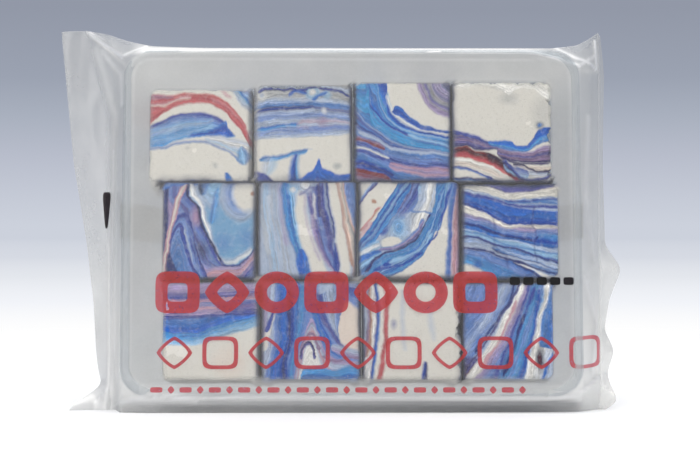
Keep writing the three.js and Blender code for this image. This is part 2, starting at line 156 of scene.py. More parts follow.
# Each square: its middle and size on the face in mm, the tone it starts from, and its ribbons
# in the order that they lie over each other, measured from its middle.
SQUARES = [(name, box, ground, all_ribbons(text)) for name, box, ground, text in (
    ("top_1", (-46.1, 89.3, 32.8, 30.8), "cream", """
rise sky,steel,ice,steel,lavender,violet soft=.9 streak=.4 | -17:-4.2 -12:-3.4 -8:-1.6 -4:-.7 2:-.3
  6:0 11:-.6 | -17:2.6 -12:5 -9:6.6 -5:7.6 0:7.8 4:7 7:5 9:2.6 11:.2
rise ice,sky,mist,ice soft=1.6 streak=.5 cover=.6 | -17:-3.6 -9:-1.2 -3:.4 4:3 | -17:1.4 -9:3.8
  -3:5 4:5.6
rise bright,deep,blue soft=.9 | -3:-.2 3:0 7:.1 10.4:-.4 | -3:.4 3:1.4 6:3 8:4.4 9.4:2 10.4:.6
rise ice,mist,white,mist soft=1.2 streak=.3 cover=.75 | 2:-1.6 7:-3 11:-5.4 17:-8 | 2:-.4 7:-.2
  11:-1.2 17:-3
strand steel,lavender wide=.8 soft=.9 cover=.85 | -17:-4.4 -12:-3.8 -7:-2.2 -4:-1.9 0:-2 4:-2.8
  8:-4.2 11:-6.2 14:-9
run sky,ice,steel soft=1.2 cover=.9 | -9.6:14.2 -7:12.4 -4.4:13.4 | -9.6:14.8 -7:16 -4.4:14.6
rise crimson,coral,crimson,coral,coral soft=.9 | -17:2.6 -14.4:4.8 -12:7.4 -8:9.5 -4:10.6 0:10.9
  4:10.2 8:7.6 11:4 14:.6 17:-4.6 | -17:13.4 -10:13.4 -5:13.8 0:13.8 5:13 8:11.5 12:7.5 15:2.5
  17:-1.4
rise ivory,pink soft=1 cover=.85 | -17:9.4 -12:9.8 -8:11.4 -3:12.4 | -17:10.2 -12:11.2 -8:12.2
  -3:12.9
rise crimson,mauve soft=1 cover=.75 | -17:10.6 -12:11.4 -8.6:12.4 | -17:13.2 -12:13.3 -8.6:13
strand pink,coral wide=1.2 soft=1.4 cover=.5 | 4:12.4 8:10.4 12:6.4 16:.6
strand pink wide=.7 soft=1 cover=.7 | 7:14.6 10:12.4
rise mist,ice,lavender,mist soft=1.3 cover=.85 | 10:14.6 13:10.6 17:7 | 10:15.4 13:18 17:18
strand sky,blue wide=1.4 soft=1.2 | 11.6:15.4 14:12.8 17:9.8
rise steel,navy,blue soft=.9 | | -10.4:-17 -9:-16 -5:-15.4 -2.2:-14.3 0:-15.6 2:-17
run blue,steel soft=.9 | -17:9.6 -12.2:8.6 | -17:12.2 -12.2:10
ring grey soft=1.2 cover=.6 | 5:-9.8 | .8
ring grey soft=1 cover=.5 | -4:-3.9 | .6
"""),
    ("top_2", (-12.5, 90.05, 31.2, 32.3), "cream", """
rise steel,mist,grey,grey,mist,grey soft=.6 streak=.2 | -16:7.8 -5:8.9 0:8.6 8:8.2 17:7 |
rise lavender,steel soft=1 cover=.8 | 1:8.2 8:7.8 17:6.8 | 1:8.8 8:9.5 17:9.2
ring white,ice soft=1.3 cover=.85 | 2.6:13.3 | 2.3
ring mist,white soft=1.4 cover=.6 | -13.6:12.6 | 1.6
ring ice soft=1.4 cover=.6 | 7.6:12.6 | 1.5
strand navy,violet,navy wide=.9 | -14.6:13.8 -12:14.7 -8:14.7 -6:14.1 -4:14.6 -1.5:13.9 .5:14.2
  1.5:15 4:15.1 5.5:14.6 9:14.4 12:13.9 14:12.6 17:10.8
strand blue,deep wide=1 soft=.8 | -4.4:12.8 -2.5:13.8 .4:13
strand blue,steel wide=1 soft=.7 | 3:11 5:12.3 7.4:13.3
rise mist,lavender,mist,mist,lavender,mist soft=.8 streak=.25 | -16:-2.2 -6:-1.8 4:-.9 17:.4 |
  -16:7 -8:8 2:8 17:6.6
strand sky,blue wide=1 soft=.8 | -15:1.2 -8:2 -5:2.4 -2:2.7
rise lilac,mist,pink soft=1.3 streak=.3 cover=.6 | -2:1.6 4:1.4 17:2.6 | -2:3.2 3:4.4 9:4.4 17:3.4
strand lavender wide=.7 soft=.8 | 2:1.9 8:1.7 12:2.2 17:2.5
ring mauve soft=1.8 cover=.55 | 6.4:4 | 1.5
rise navy,deep,navy | -15:6.7 -12:7.2 -6:7.7 -1:7.9 4:7.7 9:7.3 17:6.3 | -15:7.6 -11:8.7 -6:9.1
  -1:9.1 4:8.4 9:7.9 17:7
ring white soft=1 cover=.6 | 7:7.3 | .9
rise sky,steel soft=.9 | -14:-9.2 -10:-8.9 -6:-8.2 -3:-7.6 .5:-7 | -14:-8 -10:-7.3 -6:-6.9 -3:-6.2
  2.4:-5.4
run blue,deep,sky soft=1.6 | -17:-4.6 -12:-4.6 -9.6:-4 -7.4:-3 | -17:-.6 -12:-1.4 -9.6:-1.8
  -7.4:-1.6
run mist,ice soft=1.6 cover=.6 | -13.4:-13.6 -8.6:-12.8 | -13.4:-10.8 -8.6:-8.6
rise bright,deep,blue,bright soft=.8 | | -5.4:-17 -4.2:-14.6 -.6:-14.4 1.6:-12.8 3.4:-11.6 4.7:-8.7
  5.8:-11 8.6:-12.4 12:-13.6 17:-13.2
rise navy,deep,violet soft=.9 | | -17:-12 -13:-13 -10.6:-14.6 -8.2:-17
ring grey soft=1.4 cover=.8 squeeze=1.2 | 11.2:-10.7 | 1.3
"""),
    ("top_3", (19.4, 90.6, 31.4, 33), "cream", """
ring lilac,mist,lilac,grey,lilac soft=.9 | 17.2:17.1 | 12.5
ring purple soft=.8 cover=.8 | 17.2:17.1 | 9.4:10.3
ring purple soft=.8 cover=.7 | 17.2:17.1 | 6.9:7.7
ring mauve,plum soft=1.2 cover=.8 | 17.2:17.1 | 4.6
rise steel,lavender,violet,lavender,steel | | -16.8:2.1 -13.3:.2 -9.8:-1.4 -6.8:-3.2 -3.8:-5
  .2:-5.8 5.2:-6.4 17.2:-8
rise lavender,violet,steel,purple,steel | -16.8:2.1 -13.3:.2 -9.8:-1.4 -6.8:-3.2 -3.8:-5 .2:-5.8
  5.2:-6.4 17.2:-8 | -16.2:13.6 -15.4:7.6 -12.8:4.2 -9.8:1.4 -6.8:-.8 -3.8:-3 .2:-4.6 5.2:-5.6
  17.2:-7.4
rise steel,turquoise,sky,turquoise,steel,turquoise | -16.2:13.6 -15.4:7.6 -12.8:4.2 -9.8:1.4
  -6.8:-.8 -3.8:-3 .2:-4.6 5.2:-5.6 17.2:-7.4 | -11:19.6 -10.6:12.6 -10:8.6 -8.2:5.4 -5.3:2.6
  -1.8:.4 3.2:-1.8 9.2:-3.4 17.2:-5.2
rise blue,steel,sky,blue | -11:19.6 -10.6:12.6 -10:8.6 -8.2:5.4 -5.3:2.6 -1.8:.4 3.2:-1.8 9.2:-3.4
  17.2:-5.2 | -8.4:19.6 -7.8:13.6 -7:9.1 -5.8:6 -3.8:3.6 -.8:1.4 3.2:0 8.2:-1.2 17.2:-3
rise sky,bright,deep,blue | -8.4:19.6 -7.8:13.6 -7:9.1 -5.8:6 -3.8:3.6 -.8:1.4 3.2:0 8.2:-1.2
  17.2:-3 | -5.4:19.6 -4.8:12.6 -4.4:9 -3:6 -.3:3.2 3.2:1.6 6.2:.6 10.2:-.4 17.2:-1.8
strand deep wide=.9 | -11:16.6 -10.6:11.6 -10.3:8.9 -8.8:6.4 -6.8:4.2 -3.8:1.8 .2:-.2 5.2:-2.2
  17.2:-5.2
strand ice wide=.6 cover=.7 | -8.2:16.6 -7.8:12.6 -6.8:8.6 -5.4:5.6 -3.4:3.4 -.8:1.3 3.2:-.1
  8.2:-1.3 17.2:-3.2
rise mist,white,ice soft=.8 cover=.6 | -4.8:9 -3.4:6 -.8:3.4 2.2:1.8 5.2:.7 | -4.8:12.6 -3.8:9.4
  -2.6:6.6 .2:4.4 3.2:2.7 6.2:1.4
rise bright,deep,blue soft=.6 | -3:6.4 .2:4.3 3.2:2.6 6.2:1.1 10.2:.2 17.2:-1 | -3:7 -2.2:8.5 -.6:8
  1.2:6.2 4.2:3.9 6.2:2.6 8.2:2.3 11.2:1 17.2:.1
strand ice wide=.8 | 2.2:-1 6.2:-2.2 9.2:-3.1 16.2:-4.8
strand mist wide=.8 | -13.8:-.2 -9.8:-2 -6.8:-3.8 -3.8:-5.4 .2:-6.2 6.2:-6.8 17.2:-8.2
rise brick,mauve soft=.7 | -16.8:-2.4 -12.8:-3 -9.8:-4.4 -5.8:-6 | -16.8:-1 -12.8:-1.6 -9.8:-2.8
  -5.8:-4.9
strand white,mist wide=.9 soft=.6 | -16.8:-4.2 -10.8:-5.8 -7.8:-7.2 -4.8:-8.6
strand violet wide=.8 soft=.6 | -14.8:-5.8 -11.8:-6.8 -8.8:-8.2 -5.8:-9.2
rise steel,blue,deep,blue,steel | | -16.8:-5.6 -12.8:-7.8 -9.8:-9.4 -5.8:-11 -2.8:-12.6 1.2:-15.8
rise deep,navy,deep soft=.6 | -16.8:-11 -11.8:-11.8 -7.8:-13 -3.8:-15 | -16.8:-9 -11.8:-9.4
  -7.8:-11.2 -2.8:-13.8
rise cream,pink,mauve,brick soft=.6 | | -16.8:-11.4 -11.8:-12.2 -7.8:-13.4 -4.8:-14.8 -1.8:-17.4
rise pink,lilac,pink soft=1 cover=.85 | -3.8:-11.8 2.2:-13.4 6.2:-14.2 17.2:-14.8 | -3.8:-10.2
  .2:-10.8 5.2:-11.3 17.2:-12.2
rise navy,violet soft=.8 | | 1.2:-16.4 5.2:-15.2 10.2:-15 17.2:-15.2
"""),
    ("top_4", (51.6, 90.7, 32.6, 33.2), "cream", """
rise plum,purple,mauve,purple,violet | -17.1:-5.3 -12.1:-5.1 -9.1:-6.1 -5.1:-6.3 -2.1:-5.9 -.1:-6.9
  3.9:-8.5 | -17.1:.9 -12.1:-.3 -8.1:-1.5 -5.1:-2.9 -2.1:-3.9 .9:-5.1 3.9:-6.5
rise plum,mauve,purple,mauve,lilac | -.6:-8.5 2.9:-9.9 6.9:-10.5 16.9:-10.3 | -.6:-5.3 3.9:-6.5
  8.9:-6.5 11.9:-5.1 16.9:-4.5
ring grey soft=3.4 cover=.5 squeeze=1.5 | 2:10.8 | 2.6
ring grey soft=4 cover=.35 squeeze=.7 | 13.5:6.5 | 3.4
rise white,cream soft=1.2 cover=.85 | -17:14.2 -6:14.8 -1:13.6 2:12 4.5:14 9:14.4 13:12 17:9 |
rise steel,sky,bright,blue soft=.6 | -4.1:-4.1 -.1:-5.3 3.9:-6.7 7.9:-6.3 9.9:-5.1 12.9:-3.7
  16.9:-3.5 | -4.1:-3 -.1:-2.9 2.9:-3.1 4.9:-4.6 7.9:-4.4 9.9:-2.5 11.9:.5 14.9:1.1 16.9:1.1
rise sky,bright,bright soft=.6 | 7.9:-5.7 10.9:-3.7 12.9:-2.7 16.9:-2.5 | 7.9:-4.7 9.9:-2.7 11.9:.3
  14.9:1 16.9:1
ring steel,grey soft=1 | 12.2:1.9 | 1.3
rise coral,crimson,brick,maroon,brick soft=.5 | -17.1:-7.7 -12.1:-8.7 -8.1:-9.9 -4.1:-11.3
  -.1:-13.3 2.9:-15.1 5.9:-17.5 | -17.1:-5.3 -12.1:-4.9 -10.1:-6.1 -6.1:-6.7 -3.1:-7.5 -1.1:-8.7
  1.9:-10.5 4.9:-13.5 7.9:-16.5
rise maroon,night soft=1.2 cover=.85 | -4.1:-9.9 -.1:-11.9 3.9:-15.5 | -5.1:-7.1 -1.1:-8.5
  2.9:-11.5 6.9:-15.5
rise cream,ivory,white | -17.1:-11.5 -8.1:-13.1 -.1:-16.1 | -17.1:-8.1 -8.1:-10.3 -.1:-13.7
strand lavender,violet wide=.9 | -17.1:-11.3 -10.1:-12.9 -6.1:-14.5 -3.1:-16.1
strand steel,navy wide=1.2 | -17.1:-15.3 -8.1:-15.9 -.1:-16.9
rise cream,mist,ivory | 4.9:-12.9 8.9:-15.5 16.9:-16.1 | 4.9:-10.9 8.9:-12.1 16.9:-11.9
rise ivory,cream | 7.9:-12.5 16.9:-12.9 | 7.9:-10.9 16.9:-10.7
rise ice,lavender,violet soft=.8 cover=.8 | .9:-12.1 3.9:-14.5 7.9:-15.5 | .9:-10.1 3.9:-11.5
  7.9:-13.1
strand plum wide=.6 | -.1:-8.7 3.9:-10.3 7.9:-10.8 14.9:-10.5
strand plum,night wide=.7 | 3.9:-10.9 6.9:-11.3 8.9:-12.7 11.9:-13.4 15.3:-13
strand plum,violet wide=1 | .4:-9.9 2.9:-12.5 5.9:-15.1 8.9:-16.1 12.9:-15.8 16.9:-13.5
"""),
    ("middle_1", (-43, 58.6, 30.2, 31.6), "teal", """
ring steel soft=4 cover=.55 | 5:-4.3 | 2.6
ring steel soft=4 cover=.5 | 12.5:-2.3 | 2.6
rise mist,ice soft=2.4 cover=.75 | -1.5:8.7 1.5:6.7 4.5:8.7 |
ring mist,lavender,mist soft=1.2 cover=.85 squeeze=.73 | 10:11.7 | 6.4
ring cream soft=1.6 squeeze=.8 | 12.5:12.2 | 4.6
run steel,sky soft=.9 cover=.8 | 2.7:.7 8.7:1.3 13.5:2.7 | 2.7:2.3 8.7:3.4 13.5:3.2
run lilac,lavender,purple,lavender,violet soft=.8 | | 16.7:-6.5 11.7:-6.3 10.2:-5.5 8.5:-4 6.7:-2.7
  3.7:-2.1 1.2:-1.5 -.8:-.5 -3.3:1 -6.3:2.5 -8.8:3.5 -10.3:4.5 -12.3:7.5 -17.3:11.5
ring pink soft=2 cover=.6 squeeze=.5 | -3.9:4.3 | 1.4
rise violet,lavender,violet,lilac,pink,lilac | | -4.5:-20.3 -.5:-12.7 3.5:-11.7 6.5:-11.5 9:-11.7
  11.5:-10.1 13.5:-7.5 16.5:-4.3
rise violet,lavender,violet soft=.7 | | -14.3:-16.3 -12.9:-7.3 -11.9:-.8 -10.9:2.7 -9.5:5.1
  -7.5:5.7 -5.7:3.7 -4.7:-.3 -4.1:-4.3 -3.1:-8.3 -1.3:-12.3 .5:-17.3
rise lavender,mist,lavender soft=.7 | | -13.7:-14.3 -12.7:-6.3 -11.9:-2.3 -10.9:1.1 -9.5:3.7
  -7.9:4.1 -6.7:1.7 -5.9:-2.3 -5.3:-6.3 -4.1:-10.3 -2.1:-14.3 -.5:-17.3
rise violet,deep,violet soft=.7 | | -13.3:-12.3 -12.5:-5.3 -11.7:-1.3 -10.5:.9 -9.3:2.5 -7.9:1.3
  -7.1:-2.3 -6.5:-6.3 -5.3:-10.3 -3.1:-14.3 -1.5:-17.3
rise steel,lavender,steel,lavender soft=.7 | | -12.9:-11.3 -11.7:-3.9 -10.5:-.7 -9.3:.9 -8.4:-1.3
  -7.9:-4.3 -7.1:-8.3 -5.5:-12.3 -3.5:-16.3
run maroon,night,navy soft=.6 | | -3.9:-12.9 -8.3:-11.9 -11.8:-10.5 -15.3:-8.7 -17.3:-7.5
run pink,cream,pink soft=.6 | -17.3:-15.3 -12.3:-14.7 -5.3:-13.9 -.3:-12.9 5.7:-11.7 10.7:-10.3
  14.7:-8.7 | -17.3:-13.9 -12.3:-13.5 -5.3:-12.5 -.3:-11.5 5.7:-9.9 10.7:-8.5 14.7:-7.1
ring night soft=4.4 cover=.8 | -2.3:-6.3 | 1.4
run white,mist | 14.7:-6.5 11.7:-5.5 9.7:-3.7 6.7:-2.3 3.7:-1.7 1.2:-.9 -1.3:.3 -4.3:1.7 -7.3:3.3 |
  14.7:-3.7 11.7:-2.5 9.7:-1.1 6.7:-.7 3.7:-.1 1.2:1.1 -1.3:1.7 -4.3:2.3 -7.3:3.7
rise white,mist soft=1 cover=.85 | 3.5:-9.9 5.5:-10.9 8.5:-11.1 10.5:-9.9 13.5:-6.9 | 3.5:-8.3
  5.5:-9.3 7.5:-9.5 10.5:-7.7 13.5:-5.3
thread night,navy wide=.9 | 14.7:-6.7 11.7:-6.7 10.2:-5.5 8.5:-4 6.7:-2.9 3.7:-2.2 1.2:-1.6 -.8:-.6
  -3.3:.9 -6.3:2.5 -8.8:3.5 -10.3:4.4
strand navy,violet wide=.7 | 4.1:-10.3 6.5:-11.5 9:-11.6 11.5:-10.1 13.5:-7.5 16.5:-3.9
run night,steel soft=1 cover=.9 | 11.2:-2.1 12.7:-2.9 16.7:-3.7 | 11.2:-1.3 12.7:-.3 16.7:.5
strand blue,steel wide=1.1 | -15:13.3 -11.5:14.7 -8.5:15.3 -5.5:15.9 -3.9:14.9
ring tan | 14.3:11.7 | .7
"""),
    ("middle_2", (-11.1, 59.1, 31.6, 31), "mist", """
run mist,grey,ice,mist,grey,mist soft=1.6 streak=.7 cover=.6 | | 17:-8.6 4:-8 -4:-6 -10:-5 -17:-4
thread white wide=.9 soft=1.6 cover=.3 | 10:-12.6 0:-12.8 -8:-12
thread lilac wide=1 soft=1.3 cover=.6 | 17:-8.8 8:-8.7 0:-7.7 -5:-6.6
run steel,sky,blue,sky,ice soft=.9 | 15:-8.6 8:-8.2 2:-7.2 -4:-5.6 -8:-4 -12:-3.4 -17:-3 | 15:-6
  8:-4.4 2:-3.6 -4:-2 -8:-.6 -12:.4 -17:1.2
run bright,blue soft=1 | -7:-2.6 -12:-3 -17:-2.6 | -7:-.6 -12:.6 -17:1.4
run cream soft=1.1 | 12:-3.8 6:-4 0:-3 -5:-1.6 -10:.4 -17:1.6 | 12:-.8 6:-.6 0:1.4 -5:3 -10:4.8
  -17:7
thread lilac wide=.6 soft=.9 cover=.6 | 12:-1.4 6:-1 0:.6 -5:2.2 -10:3.8
run lilac,purple,lavender,purple,violet soft=1 | 13:-.6 6:.6 0:1.6 -5:3.2 -10:5 -14:8 -17:9.6 |
  16:5 8:5.8 0:7.6 -4:8.6 -6:8.2 -10:10 -17:9.8
run white,cream soft=1 cover=.8 | 11.4:1.4 7:1.9 3.4:2.5 | 11.4:2 7:2.9 3.4:2.9
thread violet,plum wide=1.3 soft=1.1 | 14:2.8 8:3.3 4:3.8
thread violet wide=.8 soft=1 cover=.8 | 13:-.9 9:.3 5:1.3
run navy,deep soft=.8 | 17:5.2 8:6.3 0:7.8 -3:8.2 | 17:6.4 8:7.3 0:8.7 -3.4:8.9
run deep,violet soft=.9 | -5:8.6 -9:8.4 -13:8.2 | -5:9.6 -9:10.3 -13:9.8
run cream soft=1 | 17:6.2 8:7.2 0:8.8 -4:9.2 -10:10.2 -17:10.4 | 17:9.4 8:10.4 0:11.4 -6:12.8
  -17:13.8
run peach,ivory,grey,peach soft=.9 | 17:9.2 8:10.6 0:11.8 -6:13 -12:14.2 -17:14.6 | 17:11.6 8:12.8
  0:15 -4:17 -17:17
thread tan wide=.55 soft=.8 | 17:9 8:10.5 0:11.6 -5:12.8 -12:14.2
run lavender,steel,sky,blue soft=.9 | 17:11.4 10:12.4 4:14 0:15.4 -2:17 |
ring white,mist soft=1.8 cover=.9 squeeze=.9 | -1:14.4 | 2.8
ring white,ice soft=1.8 cover=.75 | -4.8:12.6 | 1.8
strand purple wide=.7 soft=1 cover=.8 | -3:10.8 -1:12 1:13.4 3:12
"""),
    ("middle_3", (21.3, 58.9, 32.6, 31.4), "cream", """
rise purple,lavender,mist soft=.6 | -17:7 -15:8.4 -13:11.2 -10:14.8 -9:17 | -17:9 -15.5:10.2
  -12.4:14.6 -11.2:17
rise mist,ice,mist | | -17:-6 -15:-3 -13:0 -11:3 -9:6 -7:9 -5:12 -3.5:15 -2:18 17:18
rise cream soft=.9 | | -6:-13.5 1:-10.6 4:-8 6:-5 8:-1.5 9.6:2 11:8 17:8
rise lavender,violet,lavender,purple soft=.9 | -9:-2 -5:1.2 -3:2.5 0:4.5 2.5:7.6 3:11 4.5:18 | -9:0
  -5:3.5 -3:6.5 -1.5:9 .5:13 2:18
rise blue,sky,deep,ice,steel,deep,sky,blue soft=.5 | -17:-9 -13:-6 -11:-4.4 -9.5:-2 -7.5:.5 -5:3.5
  -3:6.5 -1.5:9 .5:13 2:18 | -17:-6 -15:-3 -13:0 -11:3 -9:6 -7:9 -5:12 -3.5:15 -2:18
run mist,white,mist | 5.6:1.8 8:3 17:4.6 | 5.2:8.6 8:9 17:10.4
ring sky,ice soft=3.4 cover=.8 squeeze=.8 | -3.4:.4 | 2.8
run mist,white soft=1.4 | -1:.6 2:-.8 4:-1 5.4:.4 | -1:1.6 1:3.6 3:5 5.4:6
ring cream soft=.8 squeeze=1.8 | -5.6:-4.3 | 3.4
run steel,sky,ice,blue soft=.5 | 0:8.6 5:9 10:9.2 17:10.2 | 0:10.2 4:11.2 8:12.3 11:13 17:15
rise ice,white,ice soft=.8 cover=.8 | -17:-10.4 -13:-8.8 -10:-6.8 | -17:-7 -13:-5.4 -10:-3.6
rise steel,sky,deep,ice,blue,sky,steel,sky soft=.5 | -17:-20 -6:-15.4 -2:-13.4 1:-11.6 4:-9 6:-6
  8:-2.5 9.6:1 10.5:5 11.4:10 12:17 | -17:-15.5 -13:-12.5 -11:-10 -8:-8 -4:-6.8 -1.5:-5.8 0:-4.8
  2:-3.6 4:-1 5.2:1 6:3 7.4:5.4 8.4:9 9.4:17
rise steel,ice,blue soft=.6 | -17:-15.8 -13:-13 -9:-9 | -17:-9.6 -13:-8 -9:-6.8
rise purple,lilac,lavender soft=.7 | -9:-7 -4:-6.4 -1.5:-5.4 0:-4.4 2:-3.2 4:-.6 5.6:3 | -9:-6.2
  -4:-5 -1.5:-3.6 1:-1.6 3:.4 4.6:3.4
strand plum,navy wide=.9 | -14:-13.6 -11:-10 -8:-8 -4:-6.8 -1.5:-5.8 0:-4.8 2:-3.6 4:-1 5.2:1 6:3
  7.2:5
strand deep wide=.8 | -8:-11.6 -2:-9.4 0:-8.4 3:-7 7:-4 9.5:-1 10.4:3
strand ice wide=.6 | -6:-10.8 1:-8 5:-5.4 7.6:-1.6
strand deep wide=.7 | -11:-13 -4:-12 0:-10.6 4:-7.8
thread deep wide=.6 | 3:10.4 7:11.4 13:12.9
run lavender,steel,lavender | -17:11 -8:12 0:12.6 8:12.6 17:14.6 | -17:13.4 0:14.2 17:15.8
run pink,lilac,violet | -17:13.4 0:14.2 17:15.8 |
thread violet wide=.5 cover=.8 | -17:12.5 0:13.7 17:15
strand steel wide=.45 | 1.2:5.8 3:5.4 5:5.6 8.4:4.8
ring tan | -11:9 | .7
strand tan,coral wide=.8 cover=.8 | -15.4:-.4 -12:3.5 -9.4:6.6
rise pink soft=.8 cover=.7 | -16:-4 -12:1.2 | -16:-2.4 -12:2.6
"""),
    # In middle_4 the navy and plum band along the top edge, its last rise, is painted shade in the
    # gap under the row above
    ("middle_4", (54.2, 58.3, 31.2, 31), "cream", """
rise sky,steel,sky,steel soft=1.1 | -17:-10.6 -12:-11.4 -8:-13.2 -4.6:-15.2 -2:-17 |
ring deep soft=1.6 cover=.6 | -11:-10.8 | 1.2
rise lavender,blue,steel,violet | -17:-7.4 -11:-8 -5:-10.6 0:-12.8 5:-16 |
rise mist,steel,mist,steel,ice soft=.6 | -17:-5.4 -8:-6.8 -3:-8.8 2:-10.6 8:-13.6 13:-16 |
strand navy wide=.6 | 1:-10.6 7:-13.8 11:-16
strand white wide=.5 | 1:-10 7:-12.8 13:-15.4
strand navy wide=.6 | 1:-9.4 7:-12 17:-14.4
rise mist,steel,mist,ice soft=.6 | -17:-4.8 -8:-6.2 0:-9.2 8:-11 17:-13.2 |
strand navy wide=.8 | -17:-5 -8:-6.4 -2:-8.8 0:-9.6 3:-10.6
strand navy,steel wide=.5 | -6:-5.6 0:-8 8:-10.2 17:-13.2
strand navy,violet wide=.8 | -17:-1.4 -12:-2 -5:-4.6 0:-5.4 8:-8.2 17:-10.6
rise ice,mist,steel,ice,mist soft=.6 | -17:-1 -12:-1.6 -5:-4.2 0:-5 8:-7.6 17:-9.4 |
strand steel wide=.5 | -17:.6 -9:-1.4 -4:-3.6 4:-5.6 17:-7.6
rise blue,sky,blue soft=.6 | -17:1.4 -11:0 -5.6:-2.2 0:-2.8 6:-4.4 17:-5.6 |
strand navy,deep wide=1.1 | -17:3.4 -12:2.2 -6:-.4 -4:-.8 0:-1.5 4:-2.7 7.4:-2.9 8.4:-2
strand deep wide=1.1 | 7:-3.2 12:-3.4 17:-4.2
rise lavender,lilac,mauve,pink,lilac soft=.6 | -17:4 -10:2 -5:.2 0:-.9 4:-2 7.6:-2.1 8.6:-1 17:-1.6
  |
rise cream,ivory soft=.8 | -17:6.8 -10:4.6 -4:2 0:1.2 6:1.2 9:.6 17:.8 |
rise deep,blue,bright,blue,blue soft=.6 | -17:8.8 -12:7.6 -6:4.4 -2:2.6 2:2.2 8:1.9 17:1.5 |
rise mist,steel,mist,cream,mist soft=.6 | -17:12.6 -12:11.6 -6:9.8 0:8 6:7 17:6.2 |
strand violet wide=.9 | -17:12.8 -6:10.2 0:8.6 5:7.8 17:7.8
strand steel,violet wide=.8 | -2:9.9 2:9.3 8:9.7 17:10.4
rise cream,ivory,mist soft=.7 | -17:14 -10:12.4 -4:10.8 1:10.1 8:10.6 17:11.4 |
rise purple,violet,lavender soft=.7 | -17:15 -9:14.7 -5:13.4 0:12.4 6:12.6 12:14 17:14.6 |
rise navy,plum | -17:15.6 -6:15.2 0:14.6 8:14.2 13:14.6 17:15.6 |
thread navy wide=.35 cover=.6 | -10:8 -5:7.4 0:7.9 2:6.8 8:7.4
thread navy wide=.3 cover=.5 | -6:-5.6 -1:-5.2 4:-5.8
thread navy wide=.3 cover=.5 | -8:-1.6 -12:-.8
"""),
    ("low_1", (-42.1, 26.2, 30.8, 31.6), "cream", """
rise ice,sky,bright,blue,steel | -17:-3.4 -10:-4.5 -5:-4.5 0:-3 5:-1.5 10:0 17:2 |
rise violet,lilac,pink,lavender,pink,violet,lilac soft=.7 | -17:3.5 0:4.2 17:5.4 |
rise violet,purple soft=.9 cover=.8 | -17:10.5 -6:10 2:11 | -17:12.5 -6:12.4 2:12
rise violet soft=.9 cover=.7 | 2:7 8:6.6 17:8 | 2:8 8:9 17:10.4
ring ivory soft=3 cover=.6 | 6:-10 | 5
"""),
    ("low_2", (-9.9, 26.2, 31.4, 31.6), "lavender", """
run lilac,mist,lilac,mist | | 17:-11.4 8:-11.6 0:-12 -8:-13 -17:-16
thread cream wide=1.3 soft=.6 | -6:-15 -2:-14.2 2:-13 6:-11.6
thread violet wide=1 soft=.6 | 0:-14.2 5:-12.2 9:-11.2
run lavender,blue,bright,blue,deep soft=.7 | 17:-11.6 5:-11.4 -2:-11.4 -8:-12.6 -13:-14.4 -17:-15.4
  | 17:-7 8:-7 0:-7 -6:-7.8 -10:-9.2 -17:-9.6
run blue,steel,sky,steel soft=.7 | 17:-5 8:-5 0:-5.6 -6:-6.2 -12:-7.6 -17:-8 | 17:-1.4 6:-1.6
  1:-2.6 -5:-4.2 -10:-5.2 -17:-6
rise white,mist,pink,mist,lilac soft=.6 | | -6.4:-17 -5:-13 -4:-8 -2.4:-2 -.8:2.8 .2:4 1.2:2.8
  2.8:-2 5:-6.6 8:-9 17:-9.6
rise mauve soft=.6 | -3:-6 -2:-3.6 -.2:-1.6 1.4:-3.2 2.6:-6 | -3.2:-4.8 -2:-2.4 -.2:-.6 1.6:-2.2
  3:-5
rise purple,plum soft=.6 | -3:-9 -2.2:-6 -.6:-4.8 .6:-6.4 1.2:-9 | -3.4:-7.4 -2.2:-4.6 -.5:-3.3
  1:-4.8 1.8:-8
run navy,deep soft=.6 | 12:-7.4 5:-7.3 0:-7.2 -6:-7.8 -10:-9.4 -17:-9.6 | 12:-6 5:-5.2 0:-5.4
  -6:-6.4 -10:-7.8 -17:-7.8
run blue,steel,bright soft=.6 | 8:0 5:.6 0:2 -3.6:4 -6.6:6.4 -8:8.4 | 8:2.4 5:3.2 1:4.2 -2.4:6
  -6:8.8 -8:10
run lavender,mist,lavender soft=.9 | 17:2.4 10:2.6 5:3.4 1:4.8 -3:7.4 -7:11 | 17:10 8:10 2:9.6
  -1:9.8 -3:11.4 -6:15
thread purple,violet wide=1.7 soft=.9 | 12:2.8 5:3.8 1:5.8 -2:7.8 -6:11.4 -8:14
rise ivory soft=1.4 | 9.4:-3 12:-5 17:-6.8 | 9.4:5 11:9.4 13:8.4 17:6
rise lilac,mist soft=.9 | 7:-6.2 12:-8 17:-9 | 7:-4 12:-5.4 17:-6.6
strand mauve wide=.8 soft=.6 | 4:-8 6:-9.4 9:-9.6 13:-8.2 17:-8.6
rise steel,sky,blue,sky soft=1 | | -3.6:-18 -3:-12.6 0:-11.6 3:-11.2 8:-12.4 12:-11.2 17:-11.8
run mist soft=1.4 cover=.8 | 12:2.6 17:2.2 | 12:4 14:7 17:7.4
rise lavender,violet,mist soft=.9 | 11.6:10.4 17:8.2 | 11.6:17 17:17
"""),
    ("low_3", (22.5, 26.2, 32, 31.6), "cream", """
run grey,white,mist,white | | 17:-11.9 4:-11.5 -8:-12.5 -17:-13.9
run mauve,tan | 17:-14.7 4:-14.3 -8:-15.7 | 17:-13.5 4:-12.9 -8:-14.3
run violet,blue | 17:-12.8 5:-11.5 -5:-12.5 -17:-13.7 | 17:-11.6 5:-10.3 -5:-11.3 -17:-12.5
run crimson,coral,crimson | 17:-10.3 10:-8.8 3:-9.2 -8:-10.2 -17:-11.5 | 17:-8.8 10:-7.3 3:-7.7
  -8:-8.7 -17:-9.9
ring violet soft=1.4 cover=.6 squeeze=.6 | -5.9:2 | .7
thread mist wide=.8 soft=1.4 cover=.6 | 13:-3.4 -6:-2.9
thread mist wide=.8 soft=1.6 cover=.5 | 8:5.1 -3:6.6
run deep,navy | -18:2.9 -10:3.4 | -18:5.1 -10:4.2
ring grey soft=.8 cover=.7 | 9.1:13 | 1.2
"""),
